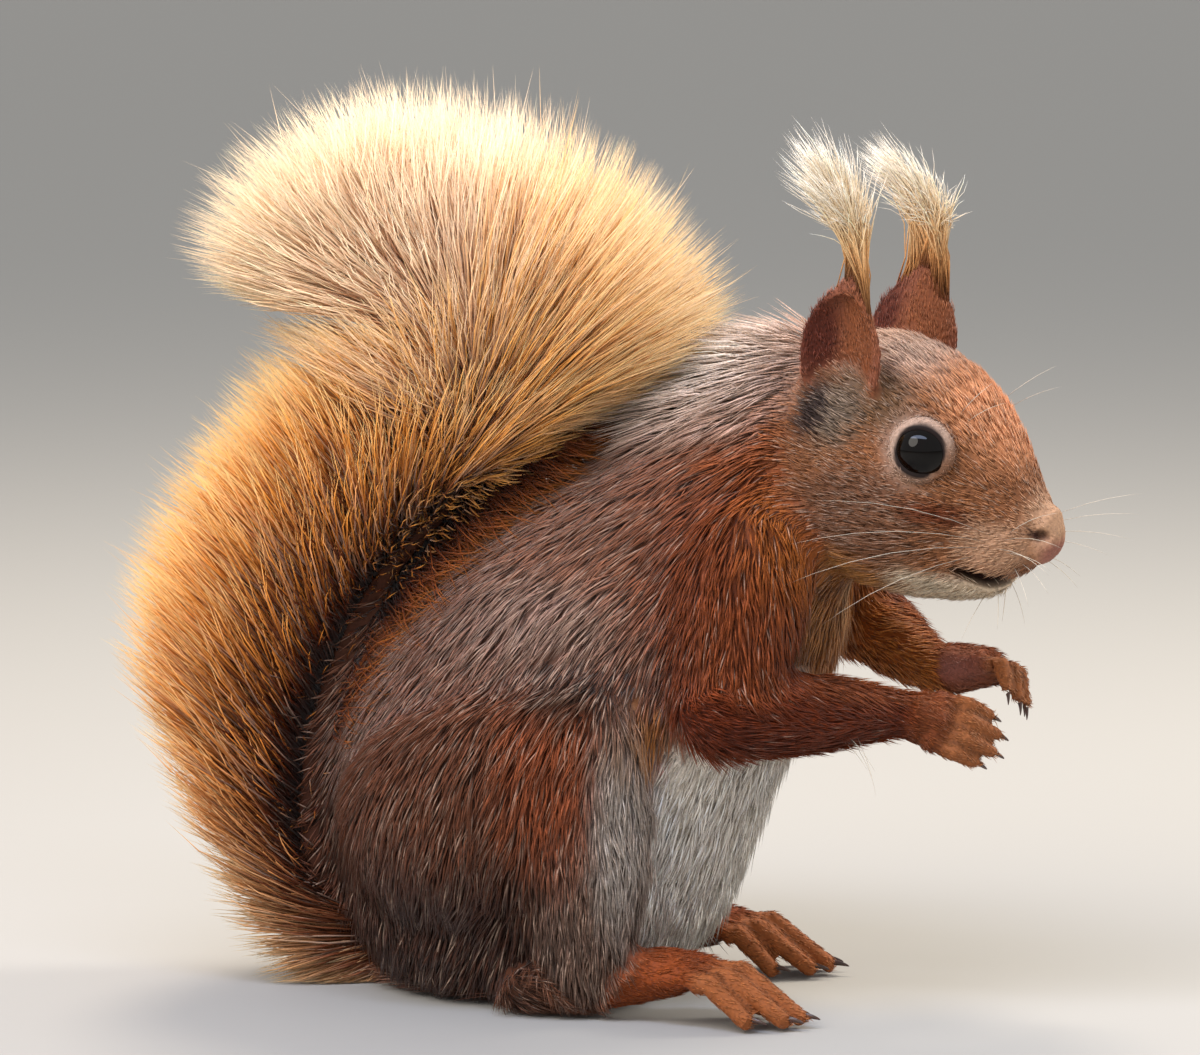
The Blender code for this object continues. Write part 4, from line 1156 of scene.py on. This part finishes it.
def growPlume(name, seed):
    rng = np.random.default_rng(seed)
    low, high, count = plume["nodes"][name]
    ends = plumeEnds(name, count, rng)
    part = np.flatnonzero((coreStation >= low) & (coreStation <= high))
    gaps = np.linalg.norm(ends[:, None] - core[None, part], axis=2)
    nearest, reach = part[gaps.argmin(axis=1)], gaps.min(axis=1)
    beside = (np.abs(ends[:, 1]) / reach) ** 2  # hairs beside the bony tail lie along the plume
    outwards = np.column_stack((-coreAhead[nearest, 2], np.zeros(count), coreAhead[nearest, 0]))
    sweep = plume["sweep"] * beside * (1 - smoothStep(coreStation[nearest], *plume["sweepEnds"]))
    ends = ends + outwards * sweep[:, None]
    ends[:, 1] *= 1 - plume["drawnIn"] * beside
    lean = np.interp(coreStation[nearest], *np.array(plume["lean"]).T) + plume["besideLean"] * beside
    back = np.minimum(reach * lean, plume["leanMost"]) * rng.uniform(*plume["leans"], count)
    there = sampled(coreTable, np.interp(coreLength[nearest] - back, coreLength, np.arange(len(core))))
    base, ahead, thick, station = there[:, :3], unit(there[:, 3:6]), there[:, 6], there[:, 7]
    toEnd = unit(ends - base)
    roots = base + toEnd * (thick * plume["rooted"])[:, None]
    grown = np.where(rng.random((count, 1)) < plume["shortShare"], rng.uniform(*plume["short"], (count, 1)),
                     rng.uniform(*plume["long"], (count, 1)))
    stray = rng.random((count, 1)) < plume["stray"][0]
    facing, last, first = plume["onBack"]  # hairs between the tail and the back are longer
    onBack = smoothStep(toEnd[:, 0], *facing) * (1 - smoothStep(station, *last))
    onBack = onBack * smoothStep(station, *first)
    grown = grown * (1 + plume["toBack"] * onBack)[:, None]
    ends = base + (ends - base) * grown * np.where(stray, plume["stray"][1], 1.0)
    inside = base + (ends - base) * 0.5
    half = np.array([halfThickness(place) for place in inside])
    aside = np.where(np.abs(ends[:, 1]) > 5, np.sign(ends[:, 1]), rng.choice((-1, 1), count))
    length = np.linalg.norm(ends - roots, axis=1)
    bend = (roots + ends) / 2 + ahead * (length * plume["arch"])[:, None]
    least, most, times = plume["bulge"]
    bulge = half * rng.uniform(least, most, count) * times
    bend[:, 1] += aside * np.maximum(bulge - np.abs(inside[:, 1]), 0)
    bend += rng.normal(size=(count, 3)) * plume["bent"]
    ends = clumped(ends, plume["lock"][0] * rng.random(count), plume["lock"][1], rng)
    stations = [row[0] for row in plumeColours]
    tones = [palette(*row[1:6]) for row in plumeColours]
    shade = (1 + waved(ends, plume["shadeWaves"]) + rng.normal(size=count) * plume["shade"])[:, None]
    ticked = (rng.random(count) < np.interp(station, stations, [row[6] for row in plumeColours]))[:, None]
    facing, first = plume["inShade"]
    under = smoothStep((toEnd * outwards).sum(axis=1), *facing) * smoothStep(station, *first)

    def colours(t):
        colour = sampled([toned(row, t) for row in tones], station, stations)
        colour = mixed(colour, linear(plume["shaded"]), under * plume["shadedShare"] * (1 - t ** 3))
        return banded(colour, t, plume["band"], ticked) * shade

    across = np.array((0.0, 1.0, 0.0)) * aside[:, None]
    width = plume["width"] * rng.uniform(*plume["widths"], count)
    hairs = growSpikes("plume_" + name.split("_")[1], "plume", "plume", roots, bend, ends, width, across,
                       colours, patchAt(roots), 3, rng.normal(size=count) * plume["wave"])
    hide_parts(name)


for seed, name in enumerate(plume["nodes"]):
    growPlume(name, 200 + seed)

# The hairs that lie between the tail and the back, from these stations of the bony tail to the trunk.
underPlume = {
    "hairs": 2700, "stations": (3.6, 8.0), "reach": 16, "forward": (-4, 18), "fan": 0.55, "aside": 9,
    "over": 2.5, "rooted": 3, "arch": 2, "bent": 1.5, "width": 0.36, "widths": (0.7, 1.2), "wave": 1.2,
    "shade": 0.16,
    # colours: nearly black at the tail, partly the hairs' own dark roots and partly painted shade between
    # the tail and the back
    "colours": ("#1c0703", "#45180a", "#8a4318", "#b8702c"),
}
trunk = np.isin(nodeAll[corners].max(axis=1), [kinds.index(k) for k in onTrunk])
trunkTree = BVHTree.FromPolygons(allPoints.tolist(), corners[trunk].tolist())


def growUnderPlume(how, seed):
    rng = np.random.default_rng(seed)
    count = how["hairs"]
    at = np.interp(rng.uniform(*how["stations"], count), coreStation, np.arange(len(core)))
    there = sampled(coreTable, at)
    base, ahead = there[:, :3], there[:, 3:6]
    toBody = np.column_stack((ahead[:, 2], rng.normal(size=count) * how["fan"], -ahead[:, 0]))
    hint = base + unit(toBody) * how["reach"] + ahead * rng.uniform(*how["forward"], (count, 1))
    hint[:, 1] += rng.normal(size=count) * how["aside"]
    hits = [trunkTree.find_nearest(h)[:2] for h in hint.tolist()]
    ends = np.array([place[:] for place, normal in hits])
    ends += np.array([normal[:] for place, normal in hits]) * how["over"]
    roots = base + unit(ends - base) * how["rooted"]
    bend = (roots + ends) / 2 - ahead * how["arch"] + rng.normal(size=(count, 3)) * how["bent"]
    shade = (1 + rng.normal(size=count) * how["shade"])[:, None]
    tones = palette(*how["colours"])
    width = how["width"] * rng.uniform(*how["widths"], count)
    growSpikes("plume_under", "plume", "plume", roots, bend, ends, width, (0, 1, 0),
               lambda t: toned(tones, t) * shade, patchAt(roots), 3, rng.normal(size=count) * how["wave"])


growUnderPlume(underPlume, 260)


# Ear tufts: a thin sheaf from the front rim of each ear that fans out backwards

earTuft = {
    "hairs": 560, "from": 0.62, "top": 0.9, "onFront": 0.35, "fan": 0.35, "neck": 0.3,  # shares of a height
    "spread": 2.1, "drawnIn": 0.1, "bent": (1.5, 1.1, 1.8), "ahead": (1.6, 0, 6.5), "lock": (0.5, 7),
    "width": 0.28, "widths": (0.7, 1.2), "wave": 1.1, "shade": 0.14,
    "colours": ("#7a4526", "#d39a5e", "#ecca96", "#f3e2c4", "#f8efdf"),
}


def growEarTuft(side, how, seed):
    rng = np.random.default_rng(seed)
    node = "ear_tuft_" + side
    places = pointsOf(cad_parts[node].data) / mm
    low, high = nodeBox(node)
    count = how["hairs"]
    bottom, top = nodeBox("ear_" + side)
    height = (allPoints[:, 2] - bottom[2]) / (top[2] - bottom[2])
    onRim = (skinNormals[:, 0] > how["onFront"]) | (height > how["top"])
    own = np.flatnonzero(within(allPoints, bottom - 1, top + 1) & (height > how["from"]) & onRim)
    roots = allPoints[rng.choice(own, count, p=height[own] ** 4 / (height[own] ** 4).sum())]
    outer = places[places[:, 2] > low[2] + (high[2] - low[2]) * how["fan"]]
    ends = outer[rng.integers(len(outer), size=count)] + rng.normal(size=(count, 3)) * how["spread"]
    neck = places[places[:, 2] < low[2] + (high[2] - low[2]) * how["neck"]].mean(axis=0)
    ends = ends + (neck - ends) * how["drawnIn"]
    bend = neck + rng.normal(size=(count, 3)) * how["bent"] + how["ahead"]
    shade = (1 + rng.normal(size=count) * how["shade"])[:, None]
    tones = palette(*how["colours"])
    ends = clumped(ends, how["lock"][0] * rng.random(count), how["lock"][1], rng)
    width = how["width"] * rng.uniform(*how["widths"], count)
    hairs = growSpikes("tuft_" + side, "tuft", "plume", roots, bend, ends, width, (0, -1, 0),
                       lambda t: toned(tones, t) * shade, patchAt(roots), 5,
                       rng.normal(size=count) * how["wave"])
    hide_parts(node)


for side in sideSign:
    growEarTuft(side, earTuft, 300 + sideSign[side])


# Whiskers: place on the head, way and length, in the head's frame with y outwards

whiskers = [
    ((28, 7.5, -2), (0.92, 0.40, 0.55), 19), ((27.5, 8, -3.5), (0.95, 0.45, 0.32), 19.5),
    ((26.5, 8.5, -5.5), (0.92, 0.55, 0.18), 19), ((28.5, 8, -6), (0.95, 0.45, 0.05), 14),
    ((25, 9.5, -3), (-0.75, 0.62, 0.02), 38), ((24, 10, -4.5), (-0.72, 0.6, -0.2), 42),
    ((23.5, 10, -6), (-0.68, 0.6, -0.4), 38), ((22.5, 10, -8), (-0.6, 0.6, -0.62), 30),
    ((30, 6, -9), (0.75, 0.4, -0.55), 10), ((31, 5, -8), (0.85, 0.3, -0.35), 9),
    ((16, 10, 18), (0.75, 0.25, 0.62), 12), ((14, 10, 19), (0.62, 0.25, 0.75), 13),
    ((27, 3, -15), (0.3, 0.3, -0.9), 9), ((24, 4, -16), (-0.1, 0.4, -0.9), 10),
]
# The same on the wrists, as shares of the forearm's box, in the body's frame.
wristHairs = [((0.78, 0.5, 0.0), (0.55, 0.1, -0.8), 10), ((0.84, 0.45, 0.0), (0.3, 0.1, -0.95), 12),
              ((0.8, 0.4, 0.05), (0.65, 0.05, -0.7), 9), ((0.74, 0.5, 0.0), (0.6, 0.1, -0.75), 8)]
whiskerLook = {"width": 0.16, "colour": "#e8dcc8", "atRoot": 0.35, "paleFrom": 0.4, "stray": 0.06,
               "lengths": (0.9, 1.1), "arch": 0.25}


def growWhiskers(how, seed):
    rng = np.random.default_rng(seed)
    rows = [(fromHead(np.array(place) * (1, side, 1)), np.array(way) * (1, side, 1) @ headAxes, length)
            for side in (-1, 1) for place, way, length in whiskers]
    rows += [(inBox("forearm_" + side, *place), np.array(way) * (1, sideSign[side], 1), length)
             for side in sideSign for place, way, length in wristHairs]
    hints, ways, length = (np.array(column) for column in zip(*rows))
    roots = np.array([skinTree.find_nearest(hint)[0][:] for hint in hints.tolist()])
    ways = unit(ways + rng.normal(size=(len(rows), 3)) * how["stray"])
    length = (length * rng.uniform(*how["lengths"], len(rows)))[:, None]
    bend = roots + unit(ways + headAxes[2] * how["arch"]) * length * 0.5

    def colours(t):
        pale = how["atRoot"] + (1 - how["atRoot"]) * min(1, t / how["paleFrom"])
        return np.tile(linear(how["colour"]) * pale, (len(rows), 1))

    growSpikes("whiskers", "coat", "plume", roots, bend, roots + ways * length,
               np.full(len(rows), how["width"]), headAxes[2], colours, patchAt(roots), 5)


growWhiskers(whiskerLook, 400)


# Claws and eyes

def grainedMaterial(name, tones, grain, film, gloss, relief, settings):
    # tones mix with a grain of one size in mm; gloss and relief follow a second, that of the surface
    material, tree = newMaterial(name)
    place = addNode(tree, "ShaderNodeTexCoord")
    fibres, surface = (addNode(tree, "ShaderNodeTexNoise", inputs={
        "Vector": place.outputs["Object"], "Scale": 1 / (size * mm)}) for size in (grain, film))
    colours = {6 + i: (*linear(tone), 1) for i, tone in enumerate(tones)}
    tone = addNode(tree, "ShaderNodeMix", {"data_type": "RGBA"}, {0: fibres.outputs["Fac"], **colours})
    shine = addNode(tree, "ShaderNodeMapRange", inputs={
        "Value": surface.outputs["Fac"], "To Min": gloss[0], "To Max": gloss[1]})
    bump = addNode(tree, "ShaderNodeBump", inputs={
        "Height": surface.outputs["Fac"], "Strength": relief[0], "Distance": relief[1] * mm})
    finishMaterial(tree, {"Base Color": tone.outputs[2], "Roughness": shine.outputs[0],
                          "Normal": bump.outputs[0], **settings})
    return material


# Keratin again, dense and a little glossy, so a claw has a narrow soft light along its back.
materials["claw"] = grainedMaterial(
    "dark horn, worn smooth", ("#272920", "#552920"), 0.7, 0.7, (0.28, 0.42), (0.2, 0.05), {"IOR": 1.55})
# Cornea and tear film: as clear and smooth as glass, so one sharp light stands on the nearly black iris.
materials["eye"] = grainedMaterial(
    "wet cornea over a dark iris", ("#030403", "#0b0403"), 0.8, 2.5, (0.02, 0.06), (0.05, 0.03),
    {"IOR": 1.376, "Specular IOR Level": 0.32})
for name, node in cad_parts.items():
    if name.startswith("claw_"):
        node.data.materials.clear()
        node.data.materials.append(materials["claw"])
        weld = node.modifiers.new("weld", "WELD")
        weld.merge_threshold = 0.01 * mm
        node.modifiers.new("round", "SUBSURF").render_levels = 1


def makeEye(side):
    middle, outward, ahead, up = eyeFrame(side)
    bm = bmesh.new()
    bmesh.ops.create_uvsphere(bm, u_segments=48, v_segments=32, radius=eyes["radius"])
    axes = np.array((ahead, up, outward))
    for v in bm.verts:
        polar = math.degrees(math.acos(max(-1, min(1, v.co.z / eyes["radius"]))))
        rise = eyes["corneaRise"] * math.exp(-(polar / eyes["corneaWidth"]) ** 2)
        v.co = Vector((middle + np.array(v.co.normalized() * (eyes["radius"] + rise)) @ axes) * mm)
    bm.normal_update()
    bmesh.ops.recalc_face_normals(bm, faces=bm.faces)
    mesh = meshOf("eyeball_" + side, bm)
    mesh.polygons.foreach_set("use_smooth", np.ones(len(mesh.polygons), dtype=bool))
    mesh.materials.append(materials["eye"])
    eye = placed("eyeball_" + side, mesh)
    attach(eye, "root")
    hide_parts("eye_" + side)


for side in sideSign:
    makeEye(side)
print("eyes and claws made")
